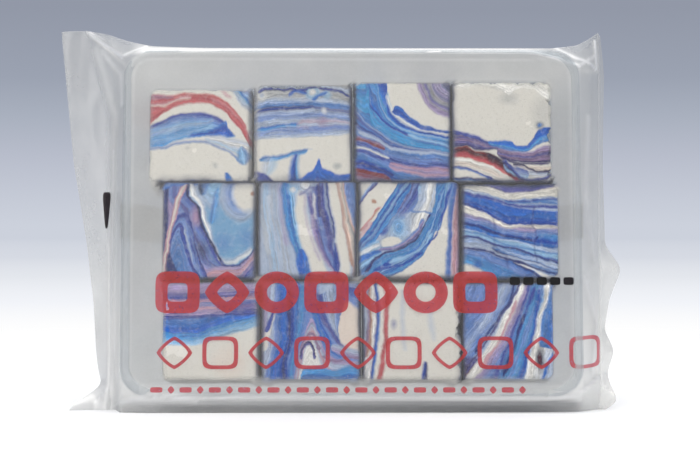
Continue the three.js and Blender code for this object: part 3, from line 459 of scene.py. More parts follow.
    ("low_4", (53, 26.2, 29.4, 31.4), "mist", """
run lavender,mist,lavender soft=.8 | | 17:4.1 9:1.1 3:-2.9 -3:-7.3 -9:-11.9
ring steel soft=3 cover=.7 squeeze=.4 | -13.4:4 | 1.6
ring blue soft=3 cover=.6 squeeze=.5 | -9.9:-3 | 1.4
rise plum,maroon,purple soft=.9 | | -16.9:-8.4 -12.9:-8.4 -9.9:-9.4 -6.9:-12 -5.5:-16
run white,cream,pink,white | 17:4.7 14:3.7 9:1.3 5.6:-.5 2:-2.5 -1:-3.9 -4:-5.9 -8:-8.9 -13:-12.5
  -17:-14.9 |
thread pink wide=.8 soft=.6 | 9:2.5 5:1.1 1:-.7 -4:-3.3 -12:-8.5
run lilac,lavender,violet,lavender | 17:6.1 13:4.9 8:2.9 3:.9 0:-.5 -4:-2.9 -10:-6.9 -14:-9.9
  -17:-11.9 |
run steel,sky,lavender,sky,blue,steel | 17:7.7 12:6.7 6:4.7 1:2.7 -4:1.1 -12:-2.3 -17:-4.9 |
thread violet wide=.8 | 15:6.9 12:6.1 6:4.1 1:2.1 -4:.3 -12:-3.3 -16:-4.9
thread violet wide=.6 | 14:8.7 7:6.1 3:4.7 -1:3.5
thread navy wide=.7 | 5:5.1 0:3.5 -7:1.3 -14:-1.7
thread blue,deep wide=1.1 | 13:9.8 6:9.1 0:8.1 -6:6.1 -10:4.9 -15:3.5
run white,mist | 17:11.9 12:11.5 8:10.5 4:9.4 0:8.7 -5:7.5 -10:6.1 -17:4.9 |
run steel,blue,steel,sky | 17:14.3 12:12.9 7:11.5 3:10.5 -1:10.1 -5:9.9 | 17:20.1 -5.6:20.1
ring maroon,night soft=1.2 squeeze=.33 | 9.9:-8.8 | 1.2
thread blue wide=1 soft=.6 | -6.5:14.7 -11:12.3 -16:10.5
thread navy wide=.7 | 17:2.7 14:1.7 10:.7 6:-1.5 3:-3.5 0:-5.9 -3:-7.9 -7:-10.9
thread plum,purple wide=.8 | 17:4.3 14:3.5 11.5:2.1 9:.9 6:-.9 3:-2.9 0:-4.7 -3.4:-6.9 -8:-10.5
  -13:-13.5
"""),
)]

# How deep the left, right, lower and upper edges are torn and crumbled, in mm
TORN = {"top_4": (0.3, 2.0, 0.2, 1.3), "low_3": (0.3, 2.2, 0.2, 0.5),
        "top_2": (0.3, 0.3, 0.2, 1.5), "middle_4": (0.2, 0.4, 0.2, 0.7),
        "top_1": (0.5, 0.3, 0.4, 0.6), "top_3": (0.8, 0.2, 0.2, 0.5)}
TORN_ELSEWHERE = (0.25, 0.25, 0.25, 0.25)


# ---------------------------------------------------------------- sizes and colours a user sets

def linear(hex_colour):
    """A scene-linear colour from its sRGB hex value."""
    values = [int(hex_colour[i:i + 2], 16) / 255 for i in (1, 3, 5)]
    return tuple(c / 12.92 if c <= 0.04045 else ((c + 0.055) / 1.055) ** 2.4 for c in values)


def size_property(name, description, usual, least, most):
    return bpy.props.FloatProperty(name=name, description=description, default=usual * MM,
                                   min=least * MM, max=most * MM, subtype="DISTANCE",
                                   unit="LENGTH")


def colour_property(name, description, hex_colour):
    return bpy.props.FloatVectorProperty(name=name, description=description, size=3, min=0,
                                         max=1, default=linear(hex_colour), subtype="COLOR")


class PackLook(bpy.types.PropertyGroup):
    """Sizes and colours of the pack's own pieces."""

    film_half: size_property("Seal half thickness", "Half the thickness of the sealed fins",
                             0.22, 0.05, 0.6)
    film_haze: bpy.props.FloatProperty(
        name="Film haze", description="Share of one layer of film that reads as milky",
        default=0.27, min=0.0, max=1.0, subtype="FACTOR")
    film_tint: colour_property("Film tint", "Colour of the film's haze", "#DEDDD9")
    tray_gauge: size_property("Tray gauge", "Thickness of the tray's sheet", 0.45, 0.2, 1.2)
    tray_tint: colour_property("Tray tint", "Colour of the milky tray", "#C6C7C5")
    sweet_front: size_property(
        "Sweet front", "How far behind the front face the sweets start", 0.6, 0.0, 3)
    sweet_deep: size_property("Sweet depth", "Thickness of each cut square", 27, 10, 29)
    sweet_round: size_property("Sweet edge", "Rounding of each square's edges", 1.15, 0.5, 5)
    ink: colour_property("Ink", "Colour of the print on the film", "#BA433C")
    mark: colour_property("Mark", "Colour of the dark print on the film", "#060709")


# ---------------------------------------------------------------- shaping

def start_clean():
    """Leaves nothing selected, so that an operator acts on the new piece alone."""
    if bpy.context.mode != "OBJECT":
        bpy.ops.object.mode_set(mode="OBJECT")
    bpy.ops.object.select_all(action="DESELECT")


def name_piece(name):
    piece = bpy.context.active_object
    piece.name = name
    piece.data.name = name
    return piece


def edit_all(*steps):
    """Runs mesh operators, each with its settings, on the whole of the active piece."""
    bpy.ops.object.mode_set(mode="EDIT")
    bpy.ops.mesh.select_all(action="SELECT")
    for operator, settings in steps:
        operator(**settings)
    bpy.ops.object.mode_set(mode="OBJECT")


def merge(threshold):
    return bpy.ops.mesh.remove_doubles, {"threshold": threshold}


FACE_OUTWARD = (bpy.ops.mesh.normals_make_consistent, {"inside": False})


def apply_modifier(piece, kind, **settings):
    bpy.ops.object.modifier_add(type=kind)
    for key, value in settings.items():
        setattr(piece.modifiers[-1], key, value)
    bpy.ops.object.modifier_apply(modifier=piece.modifiers[-1].name)


def points_of(piece):
    points = np.empty(len(piece.data.vertices) * 3)
    piece.data.vertices.foreach_get("co", points)
    return points.reshape(-1, 3)


def set_points(piece, points):
    piece.data.vertices.foreach_set("co", np.asarray(points, dtype=float).ravel())
    piece.data.update()


def set_values(piece, **values):
    """Stores one number at each of a piece's vertices under each name, for its material."""
    for name, value in values.items():
        attribute = piece.data.attributes.new(name, "FLOAT", "POINT")
        attribute.data.foreach_set(
            "value", np.broadcast_to(value, len(piece.data.vertices)).astype(np.float32))


def stand_up(piece):
    """Takes a piece from the pack's own directions to the frame, with its place in its mesh."""
    start_clean()
    piece.select_set(True)
    bpy.context.view_layer.objects.active = piece
    piece.matrix_world = (
        Matrix.Translation((-MIDDLE_X * MM, -MIDDLE_Y * MM, 0)) @ Matrix.Rotation(-LEAN, 4, "X")
    )
    bpy.ops.object.transform_apply(location=True, rotation=True, scale=True)


def stand_for_bag(piece, material):
    """Finishes a piece: its material, and that it is one of those that replace the bag."""
    piece.data.materials.append(material)
    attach(piece, "root")
    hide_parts("bag")


def loft(name, sections):
    """A tube through closed sections, with the section and the place in it of each vertex."""
    columns, rows = sections.shape[:2]
    start_clean()
    bpy.ops.mesh.primitive_grid_add(x_subdivisions=columns - 1, y_subdivisions=rows, size=1)
    piece = name_piece(name)
    corners = points_of(piece)
    column = np.rint((corners[:, 0] + 0.5) * (columns - 1)).astype(int)
    return piece, column, np.rint((corners[:, 1] + 0.5) * rows).astype(int) % rows


def ridged(points, scale, seed, detail=2):
    """Smooth noise from -1 to 1 at each point, with its own seed."""
    shift = Vector((seed * 7.31, seed * 3.17, seed * 5.77))
    return np.array([
        noise.fractal(Vector(p) / scale + shift, 0.8, 2.0, detail, noise_basis="PERLIN_ORIGINAL")
        for p in points
    ])


def ramp_up(values, low, high):
    """A smooth step from 0 at low to 1 at high."""
    share = np.clip((values - low) / (high - low), 0, 1)
    return share * share * (3 - 2 * share)


def ramp_down(values, low, high):
    return 1 - ramp_up(values, low, high)


def bell(values, middle, half_width):
    return np.exp(-(((values - middle) / half_width) ** 2))


def along(line, key):
    """The other numbers of a line's point at one value of its first number."""
    points = np.array(line, dtype=float)
    return [np.interp(key, points[:, 0], points[:, i]) for i in range(1, points.shape[1])]


def frame_distance(x, v, middle_x, middle_v, wide, high, radius):
    """Distance outside a rounded rectangle on the front face, negative inside."""
    across = np.abs(x - middle_x) - (wide / 2 - radius)
    up = np.abs(v - middle_v) - (high / 2 - radius)
    outside = np.hypot(np.maximum(across, 0), np.maximum(up, 0))
    return outside + np.minimum(np.maximum(across, up), 0) - radius


def nearest_line(x, v, points):
    """Distance from each place on the face to a bent line through points."""
    best = np.full(x.shape, 1e9)
    for (x0, v0), (x1, v1) in zip(points[:-1], points[1:]):
        span = (x1 - x0) ** 2 + (v1 - v0) ** 2
        share = np.clip(((x - x0) * (x1 - x0) + (v - v0) * (v1 - v0)) / span, 0, 1)
        best = np.minimum(best, np.hypot(x - x0 - share * (x1 - x0), v - v0 - share * (v1 - v0)))
    return best


# ---------------------------------------------------------------- the pouch

def between(start, end, share):
    """The w and v of the place a share of the way between two lines' points."""
    return start[0] + (end[0] - start[0]) * share, start[1] + (end[1] - start[1]) * share


def body_section(x, place_x):
    """A section of the filled part: up the front, over the ridge and down the back."""
    low, crease = along(LOW_CREASE, x), along(TOP_CREASE, x)
    foot, top = along(BACK_FOOT, x), along(BACK_TOP, x)
    front = [between(low, crease, t) for t in ROW_SHARES]
    back = [between(foot, top, t) for t in ROW_SHARES]
    loop = [along(GROUND_LINE, x), *front, along(RIDGE, x), *back[::-1], along(BACK_GROUND, x)]
    return [(place_x(v), w, v) for w, v in loop]


def fin_section(edge, fold, share, side, half):
    """A section of a seal, a share of the way from its fold to its free edge."""
    top = fold[-1][0] + (edge[-1][0] - fold[-1][0]) * share
    middle = []
    for v in ROW_SHARES * top:
        fold_x, fold_w = along(fold, v)
        edge_x, edge_w = along(edge, v)
        run_x, run_w = edge_x - fold_x, edge_w - fold_w
        span = math.hypot(run_x, run_w)
        middle.append((fold_x + run_x * share, fold_w + run_w * share, v,
                       run_w * side / span, -run_x * side / span))
    front = [(x + half * nx, w + half * nw, v) for x, w, v, nx, nw in middle]
    back = [(x - half * nx, w - half * nw, v) for x, w, v, nx, nw in middle]
    x, w, v = middle[-1][:3]
    return [(*front[0][:2], GROUND_V), *front, (x, w, v + 0.2), *back[::-1],
            (*back[0][:2], GROUND_V)]


def pouch_sections(half):
    """The pouch's cross-sections in order from its left free edge to its right one."""
    left, right = RIM_X - RIM_WIDE / 2, RIM_X + RIM_WIDE / 2

    def walled(x, fold, rim):
        return body_section(x, lambda v: along(fold, v)[0] * (1 - 0.45) + rim * 0.45)

    filled = [left, -67.5, -62, -45, -30, -15, 0, 15, 30, 45, 60, 64, 67.5, 70.6, 73.8, right]
    return np.array([
        *[fin_section(LEFT_EDGE, LEFT_FOLD, share, 1, half * thick)
          for share, thick in ((1, 0), (0.94, 1), (0.5, 1), (0.06, 1.6))],
        walled(-79, LEFT_FOLD, left),
        *[body_section(x, lambda v, x=x: x) for x in filled],
        walled(80.6, RIGHT_FOLD, right),
        body_section(84.4, lambda v: along(RIGHT_FOLD, v)[0]),
        *[fin_section(RIGHT_EDGE, RIGHT_FOLD, share, -1, half * thick)
          for share, thick in ((0.08, 1.6), (0.5, 1), (0.94, 1), (1, 0))],
    ])


WAIST = 9  # the point of each section's loop at mid height on the front


def spread(sections):
    """Fills in points between the sections and round them, closer together in the ears."""
    def steps(lengths, size):
        places = [np.zeros(1)]
        for i, (span, step) in enumerate(zip(lengths, size)):
            count = max(1, round(span / step))
            places.append(i + np.arange(1, count + 1) / count)
        return np.concatenate(places)

    middle = sections[len(sections) // 2]
    closed = np.concatenate([middle, middle[:1]])
    rounds = np.linalg.norm(np.diff(closed, axis=0), axis=1)
    # The back has as many points as the front, so that the two meet at the seals' edges
    rounds[:-1] = np.maximum(rounds[:-1], rounds[:-1][::-1])
    loop = steps(rounds, [0.95] * len(rounds))[:-1]
    waist = sections[:, WAIST, :]
    centres = (waist[1:, 0] + waist[:-1, 0]) / 2
    across = steps(np.linalg.norm(np.diff(waist, axis=0), axis=1),
                   [0.6 if abs(c - RIM_X) > 62 else 1.3 for c in centres])

    i = np.minimum(loop.astype(int), len(middle) - 1)
    share = (loop - i)[None, :, None]
    filled = sections[:, i] * (1 - share) + sections[:, (i + 1) % len(middle)] * share
    j = np.minimum(across.astype(int), len(sections) - 2)
    share = (across - j)[:, None, None]
    return filled[j] * (1 - share) + filled[j + 1] * share, loop


def soften(points, passes):
    """Rounds the facets of the spread points a little, round the loop and along the pack."""
    for _ in range(passes):
        points = (np.roll(points, 1, 1) + 2 * points + np.roll(points, -1, 1)) / 4
        inner = (points[:-2] + 2 * points[1:-1] + points[2:]) / 4
        points = np.concatenate([points[:1], inner, points[-1:]])
    return points


# Creases in the front of the film: points as (x, v), height and half width in mm, whitening. The
# whitening is partly the film's own at a crease and partly a painted highlight along it
CREASES = [
    ([(-84, 126), (-71.5, 115.6)], 0.5, 0.6, 0.9),
    ([(-71.5, 115.6), (-64, 119.5)], 0.5, 0.6, 0.8),
    ([(-79, 119), (-72, 110), (-71.5, 100)], 0.3, 0.8, 0.4),
    ([(65, 118.6), (71, 115), (77, 112.4)], 0.5, 0.6, 1.0),
    ([(69.5, 119), (76, 115.5), (83.4, 113.4)], 0.5, 0.6, 1.0),
    ([(83.5, 123), (84, 113.6)], 0.4, 0.5, 1.0),
    ([(77, 112.4), (83.6, 118)], 0.3, 0.6, 0.6),
    ([(-76.5, 8), (-80, 4)], 0.4, 0.6, 0.8),
    ([(-74, 3), (-60, 6), (-44, 5)], 0.3, 0.7, 0.5),
    ([(83, 12), (76, 7), (66, 6)], 0.3, 0.7, 0.5),
    ([(26, 118.4), (29, 116.6), (33, 117.6)], 0.3, 0.5, 0.6),
    ([(-81.4, 120), (-78.4, 111), (-76.6, 103), (-74.6, 98)], 0.1, 1.3, 0.3),
    ([(-74.6, 98), (-75.2, 90), (-75.4, 72)], 0.1, 1.2, 0.3),
    ([(-75.2, 86), (-75.4, 58), (-75.6, 30), (-76, 4)], 0.1, 0.6, 0.5),
    # The next two are painted highlights along the bottom, below the tray's lower rim, with little
    # relief
    ([(-60, 5.1), (0, 5.3), (40, 4.9), (76, 4.9)], 0.1, 0.45, 0.6),
    ([(-72, 3.6), (-58, 4.2), (-46, 4.0)], 0.1, 0.8, 0.5),
    ([(80, 96), (79, 70), (82, 50)], 0.3, 0.9, 0.25),
    ([(78.5, 44), (82.5, 30), (81, 14)], 0.3, 0.8, 0.3),
]
# Painted highlight lines along the tray's rim, drawn as whitening of the film: how far outside it,
# half width, whitening at side and top
RIM_LINES = ((-0.9, 0.65, 0.08, 0.25), (-3.2, 0.45, 0.1, 0.15))
# Places on the loop of a section: the top crease, the ridge and the back's upper edge
LOOP_CREASE, LOOP_RIDGE, LOOP_BACK, LOOP_HALF = 17.1, 17.4, 19.4, 10
SEAM_LONG, SEAM_HIGH, SEAM_V = 153, 12, 64


class MARSHMALLOW_OT_film(bpy.types.Operator):
    """Build the clear pouch: front face, gussets, fin seals and folded ears"""

    bl_idname = "marshmallow.film"
    bl_label = "Pouch film"

    def execute(self, context):
        look = context.scene.marshmallow_look
        points, loop = spread(pouch_sections(look.film_half / MM))
        points = soften(points, 3)
        x, w, v = points[..., 0], points[..., 1], points[..., 2]
        loop = loop[None, :]
        side = np.abs(x - RIM_X)

        # What presses the front sheet out from behind: the tray's rim and each sweet
        front = ramp_up(loop, 0.4, 1.2) * ramp_down(loop, 16.6, 17.6)
        rim = frame_distance(x, v, RIM_X, RIM_V, RIM_WIDE, RIM_HIGH, RIM_RADIUS)
        nearest, second = np.sort([
            frame_distance(x, v, *square[1], 3.0) for square in SQUARES], axis=0)[:2]
        relief = np.maximum(0.28 * bell(rim, -1.5, 1.25), 0.22 * ramp_down(nearest, -1.2, 0.9))

        # Wrinkles: long soft waves in the ears, a finer slackness elsewhere
        def waves(stretch, size, seed):
            flat = np.stack([x, v, np.zeros_like(x)], -1).reshape(-1, 3)
            return ridged(flat * stretch, size, seed).reshape(x.shape)

        long_waves = waves([1, 0.28, 1], 7.0, 3)
        short_waves = waves([1, 0.45, 1], 2.6, 5)
        slack = waves([0.5, 1, 1], 6.0, 8)
        free = ramp_up(rim, 0.3, 3.0)
        bend = ramp_up(side, 71, 81) * (1.1 * long_waves + 0.16 * short_waves)
        sheet = front * (0.3 * slack * free + 0.16 * short_waves * free
                         + 0.4 * ramp_down(v, 4.5, 7.5) * slack + 0.05 * slack)
        relief = relief + sheet
        creased = np.zeros_like(x)
        for line, height, half_width, white in CREASES:
            peak = bell(nearest_line(x, v, line), 0, half_width)
            relief = relief + height * peak * 0.8
            creased = np.maximum(creased, white * peak * (
                1 - ramp_down(side, 60, 68) * (loop > LOOP_RIDGE)))
        both = ramp_up(side, 76.5, 81)
        w = w + bend - front * relief * (1 - both) - (relief - sheet) * both * 0.5

        # Haze: least where the film lies on a sweet, most in the seals
        in_gap = ramp_down(second, 1.6, 2.9) * ramp_down(nearest, 0.6, 1.4)
        over_sweets = front * np.maximum(ramp_down(nearest, -1.2, 0), 0.85 * in_gap)
        in_rim = front * ramp_down(rim, -3.0, -0.5)
        # The haze is heavier inside the rim, and rises again towards the rim's top: that rise is a
        # painted lightening where the light falls from above
        haze = 0.56 + 0.36 * in_rim + 0.24 * in_rim * ramp_up(v, 96, 110)
        haze = haze * (1 - 0.97 * over_sweets)
        haze = haze + (0.44 - haze) * ramp_up(side, 76, 82)
        # The top gusset is one clear sheet. Along the bottom of the front the haze is thickened
        # and tinted dark grey: painted shade under the pack.
        haze = haze * (1 - 0.55 * ramp_up(loop, 17.2, 18.0) * ramp_down(loop, 18.6, LOOP_BACK))
        folded = ramp_down(v, 3.9, 4.6) * (loop < LOOP_HALF) * ramp_down(side, 70, 77)
        folded = folded * (0.42 + 0.3 * ramp_up(x, -66, 60)) * (0.6 + 0.4 * ramp_up(v, 0, 3.5))
        haze = haze + 0.9 * folded
        # Painted highlight lines along the tray's rim
        for distance, half_width, at_side, at_top in RIM_LINES:
            white = at_side + (at_top - at_side) * ramp_up(v, 103, 111)
            creased = np.maximum(creased, front * white * bell(rim, distance, half_width))
        # Painted highlights, drawn as whitening, along the tray's upper edge and along the fold
        # below its lower one
        shine = bell(loop, LOOP_CREASE, np.where(loop < LOOP_CREASE, 0.13, 0.6)) * ramp_down(
            side, 66, 73)
        fold_highlight = bell(v, 5.1, 0.4) * (loop < LOOP_HALF) * (
            0.1 + 0.55 * ramp_up(x, -60, -10)) * ramp_down(side, 60, 70)
        behind = ramp_up(loop, 18.6, LOOP_BACK) * ramp_down(side, 74, 79)
        creased = np.maximum(creased * (1 - 0.75 * behind), np.maximum(shine, fold_highlight))
        haze = haze * (1 - 0.5 * behind)
        # The lower left ear is whitened as well: a painted lightening of that ear
        painted_light_ear = ramp_up(-x, 70, 76) * ramp_down(v, 12, 52)
        creased = np.maximum(creased, 0.45 * painted_light_ear)
        points = np.stack([x, w, v], -1)

        piece, column, row = loft("film_pouch", points)
        set_points(piece, points[column, row] * MM)
        set_values(piece, haze=haze[column, row], crease=creased[column, row],
                   folded=folded[column, row])
        stand_up(piece)
        stood = points_of(piece)
        stood[:, 2] = np.maximum(stood[:, 2], 0)
        set_points(piece, stood)
        edit_all(merge(0.00002), FACE_OUTWARD)
        bpy.ops.object.shade_smooth_by_angle(angle=SMOOTH_ANGLE)
        film = polypropylene_film(look)
        stand_for_bag(piece, film)

        # The lengthwise seal, folded down flat on the back
        start_clean()
        bpy.ops.mesh.primitive_grid_add(x_subdivisions=90, y_subdivisions=8, size=1)
        seam = name_piece("film_back_seam")
        flat = points_of(seam)
        places = np.stack([RIM_X + flat[:, 0] * SEAM_LONG, np.zeros(len(flat)),
                           SEAM_V + flat[:, 1] * SEAM_HIGH], -1)
        lift = ridged(places, 9.0, 12)
        for place in places:
            foot, top = along(BACK_FOOT, place[0]), along(BACK_TOP, place[0])
            place[1] = 0.35 + foot[0] + (top[0] - foot[0]) * (place[2] - foot[1]) / (
                top[1] - foot[1])
        places[:, 1] += 0.25 * np.abs(lift) * (0.6 - flat[:, 1])
        set_points(seam, places * MM)
        apply_modifier(seam, "SOLIDIFY", thickness=0.25 * MM, offset=0)
        stand_up(seam)
        edit_all(FACE_OUTWARD)
        bpy.ops.object.shade_smooth_by_angle(angle=SMOOTH_ANGLE)
        set_values(seam, haze=0.5, crease=0.12, folded=0.0)
        stand_for_bag(seam, film)
        return {"FINISHED"}


# ---------------------------------------------------------------- the tray

# The tray's sheet from its lip to the middle of its base, as [inset from the rim, w] in mm
TRAY_PROFILE = [
    [0.25, 2.9], [0.2, 1.5], [0.45, 1.05], [0.8, 0.92], [1.5, 0.9], [2.1, 0.92], [2.5, 1.1],
    [2.8, 1.7], [3.3, 4], [4.5, 9], [6.1, 16], [7.9, 24], [8.8, 27.8], [9.4, 29.1],
    [10.3, 29.9], [11.4, 30.2], [12.8, 30.2], [14.2, 30.2], [14.9, 30.0], [15.5, 29.4],
    [16.3, 29.2], [24, 29.2], [33, 29.2], [44, 29.2], [52, 29.2], [56.09, 29.2],
]
LIP_INSET = 2.9
CORNER_POINTS = 16


def rounded_ring(inset):
    """Places round a rounded rectangle inset from the rim, the same number on every ring."""
    wide, high = RIM_WIDE / 2 - inset, RIM_HIGH / 2 - inset
    radius = min(max(RIM_RADIUS - inset * 0.55, 4.0), high - 0.002)
    turn = np.linspace(0, math.pi / 2, CORNER_POINTS)
    side = np.linspace(0, 1, CORNER_POINTS + 2)[1:-1]
    places = []
    corners = [(1, 1), (-1, 1), (-1, -1), (1, -1)]
    for i in range(4):
        middle, following = (
            np.array([sx * (wide - radius), sv * (high - radius)])
            for sx, sv in (corners[i], corners[(i + 1) % 4]))
        angle = turn + i * math.pi / 2
        places += [(middle[0] + radius * np.cos(angle), middle[1] + radius * np.sin(angle))]
        reach = radius * np.array([math.cos(angle[-1]), math.sin(angle[-1])])
        start, end = middle + reach, following + reach
        places += [(start[0] + (end[0] - start[0]) * side, start[1] + (end[1] - start[1]) * side)]
    x, v = (np.concatenate(values) for values in zip(*places))
    return RIM_X + x, RIM_V + v


class MARSHMALLOW_OT_tray(bpy.types.Operator):
    """Build the thin milky tray that holds the sweets"""

    bl_idname = "marshmallow.tray"
    bl_label = "Tray"

    def execute(self, context):
        look = context.scene.marshmallow_look
        rings = []
        for inset, w in TRAY_PROFILE:
            x, v = rounded_ring(inset)
            # The lower and right walls stand steeper, outside the sweets
            lean = max(inset - LIP_INSET, 0)
            v = v - lean * (1 - np.clip((v - 5) / (60 - 5), 0, 1))
            x = x + 0.35 * lean * np.clip((x - 20) / (66 - 20), 0, 1)
            rings.append(np.stack([x, np.full(len(x), w), v], -1))
        rings = np.array(rings)
        tray, ring_of, place_of = loft("tray", rings)
        places = rings[ring_of, place_of]
        wall = ramp_up(places[:, 1], 2, 8)
        places[:, 0] += 0.22 * wall * ridged(places, 14.0, 31)
        places[:, 2] += 0.18 * wall * ridged(places, 14.0, 33)
        set_points(tray, places * MM)
        edit_all(merge(0.00002), FACE_OUTWARD)
        apply_modifier(tray, "SOLIDIFY", thickness=look.tray_gauge, offset=0)
        stand_up(tray)
        bpy.ops.object.shade_smooth_by_angle(angle=SMOOTH_ANGLE)
        stand_for_bag(tray, thermoformed_tray(look))
        return {"FINISHED"}


# ---------------------------------------------------------------- the sweets

class MARSHMALLOW_OT_sweets(bpy.types.Operator):
    """Cut the twelve marbled marshmallow squares, each with its own marbling and edges"""

    bl_idname = "marshmallow.sweets"
    bl_label = "Marshmallow squares"

    def execute(self, context):
        look = context.scene.marshmallow_look
        for seed, (name, (x, v, wide, high), ground, ribbons) in enumerate(SQUARES, 1):
            deep = look.sweet_deep / MM - (seed * 5 % 4) * 0.35
            middle = (x, look.sweet_front / MM + deep / 2, v)
            start_clean()
            bpy.ops.mesh.primitive_cube_add(size=1)
            sweet = name_piece("sweet_" + name)
            bpy.ops.transform.resize(value=(wide * MM, deep * MM, high * MM))
            bpy.ops.object.transform_apply(location=False, rotation=False, scale=True)
            edit_all((bpy.ops.mesh.bevel, {"offset": look.sweet_round, "segments": 4,
                                           "affect": "EDGES"}))
            apply_modifier(sweet, "REMESH", mode="VOXEL", voxel_size=0.62 * MM)
            points = points_of(sweet) / MM
            face = points / (np.array([wide, deep, high]) / 2)
            outward = np.sign(face) * np.abs(face) ** 8
            outward /= np.linalg.norm(outward, axis=1, keepdims=True)
            sag = 0.42 * ridged(points, 11, seed) + 0.16 * ridged(points, 3.2, seed + 20)
            crumb = ridged(points, 1.5, seed + 40)
            inward = -0.12 + 0.45 * np.minimum(sag, 0.4) - 0.07 * np.abs(crumb)
            rough = ramp_up(ridged(points * [1, 0.5, 1], 3.4, seed + 60, 4), -0.25, 0.5)
            nibble = np.abs(ridged(points, 1.3, seed + 80))
            edges = ((0, -1), (0, 1), (2, -1), (2, 1))
            for (axis, sign), torn in zip(edges, TORN.get(name, TORN_ELSEWHERE)):
                near = ramp_up(face[:, axis] * sign, 0.8, 0.99)
                points[:, axis] -= sign * near * torn * (0.75 * rough + 0.5 * nibble)
            points += outward * inward[:, None]
            # The sides that face the next square bulge towards it, and there the colour is
            # darkened: painted shade in the gaps between squares
            beside = np.full(len(points), 1e9)
            for other, box, _, _ in SQUARES:
                if other != name:
                    beside = np.minimum(beside, frame_distance(
                        points[:, 0] + x, points[:, 2] + v, *box, 1.0))
            depth = points[:, 1] + deep / 2
            pressed = ramp_down(beside, 0.7, 3.0) * ramp_up(depth, -0.1, 0.6)
            bulge = 0.44 * beside * ramp_down(beside, 2.6, 4.5) * ramp_up(depth, 0.6, 3.6)
            for axis in (0, 2):
                points[:, axis] += np.sign(face[:, axis]) * bulge * ramp_up(
                    np.abs(face[:, axis]), 0.82, 0.98)
            set_points(sweet, (points + np.array(middle)) * MM)
            set_values(sweet, pressed=pressed)
            bpy.ops.object.shade_smooth()
            stand_up(sweet)
            stand_for_bag(sweet, marbled_marshmallow(name, middle, ground, ribbons, seed))
        return {"FINISHED"}


# ---------------------------------------------------------------- the print

DIAMOND, RHOMB, DISC, SQUARED = 1.25, 1.3, 2.0, 5.0


def stamp(x, v, wide, high, power, stroke=0.0, narrow=0.0):
    """One printed shape as a fine flat grid in front of the film: filled, or an outline where it
    has a stroke. The power sets its corners, from a diamond's to a rounded square's. Narrow is
    how much thinner its foot is than its head."""
    start_clean()
    count = max(6, int(max(wide, high) / 0.7))
    bpy.ops.mesh.primitive_grid_add(x_subdivisions=72 if stroke else count,
                                    y_subdivisions=3 if stroke else count, size=1)
    piece = bpy.context.active_object
    across, up = points_of(piece)[:, 0] * 2, points_of(piece)[:, 1] * 2
    angle = (across + 1) * math.pi if stroke else np.arctan2(up, across)
    reach = (np.abs(np.cos(angle)) ** power + np.abs(np.sin(angle)) ** power) ** (-1 / power)
    if stroke:
        inner = 1 - stroke / (min(wide, high) / 2)
        size = reach * (inner + (1 - inner) * (up + 1) / 2)
        a, b = size * np.cos(angle), size * np.sin(angle)
    else:
        square = 1 / np.maximum(np.abs(np.cos(angle)), np.abs(np.sin(angle)))
        a, b = across * reach / square, up * reach / square
    a, b = a * wide / 2, b * high / 2
    a = a * (1 - narrow * (0.5 - b / high))
    set_points(piece, np.stack([x + a, np.full(len(a), -4.0), v + b], -1) * MM)
    return piece


def lay_on_film(name, stamps, material):
    """Joins the stamps into one piece and lays it on the film's front."""
    start_clean()
    for piece in stamps:
        piece.select_set(True)
    bpy.context.view_layer.objects.active = stamps[0]
    bpy.ops.object.join()
    piece = name_piece(name)
    edit_all(merge(0.00001))
    stand_up(piece)
    apply_modifier(piece, "SHRINKWRAP", target=bpy.data.objects["film_pouch"],
                   wrap_method="PROJECT", use_project_y=True, use_positive_direction=True,
                   use_negative_direction=False, offset=0.09 * MM)
    # The faces look the way the film's front does
    if sum((p.normal.y * p.area for p in piece.data.polygons)) > 0:
        edit_all((bpy.ops.mesh.flip_normals, {}))
    bpy.ops.object.shade_smooth()
    stand_for_bag(piece, material)


class MARSHMALLOW_OT_print(bpy.types.Operator):
    """Print plain shapes on the film: a bold row, an outlined row, dashes and a small bar"""

    bl_idname = "marshmallow.print"
    bl_label = "Film print"

    def execute(self, context):
        look = context.scene.marshmallow_look
        coral = [stamp(-52.6 + i * 15.85, 38.0, 14.2, 13.4, (SQUARED, RHOMB, DISC)[i % 3], 3.7)
                 for i in range(7)]
        coral += [stamp(-53.4 + i * 14.6, 18.7, 11.4, 10.4, (DIAMOND, SQUARED)[i % 2], 1.2)
                  for i in range(10)]
        coral += [stamp(-59.0 + i * 4.65, 6.9, (3.9, 2.2)[i % 2], (1.7, 2.4)[i % 2],
                        (SQUARED, RHOMB)[i % 2]) for i in range(26)]
        lay_on_film("print_coral", coral, film_ink("Flexographic ink, coral", look.ink, 0.6))
        dark = [stamp(55.2 + i * 4.3, 41.6, 3.3, 2.5, SQUARED) for i in range(5)]
        dark.append(stamp(-77.3, 64.5, 2.9, 12, SQUARED, narrow=0.7))
        lay_on_film("print_dark", dark, film_ink("Flexographic ink, black", look.mark, 0.99))
        return {"FINISHED"}


# ---------------------------------------------------------------- materials

def node(tree, kind, inputs=None, **settings):
    """Adds a node: settings are its own, and inputs are values or the sockets that feed it."""
    made = tree.nodes.new("ShaderNode" + kind)
    for key, value in settings.items():
        setattr(made, key, value)
    for key, value in (inputs or {}).items():
        socket = made.inputs[key]
        if isinstance(value, bpy.types.NodeSocket):
            tree.links.new(value, socket)
        elif isinstance(value, tuple) and len(value) == 3 and socket.type == "RGBA":
            socket.default_value = (*value, 1.0)
        else:
            socket.default_value = value
    return made


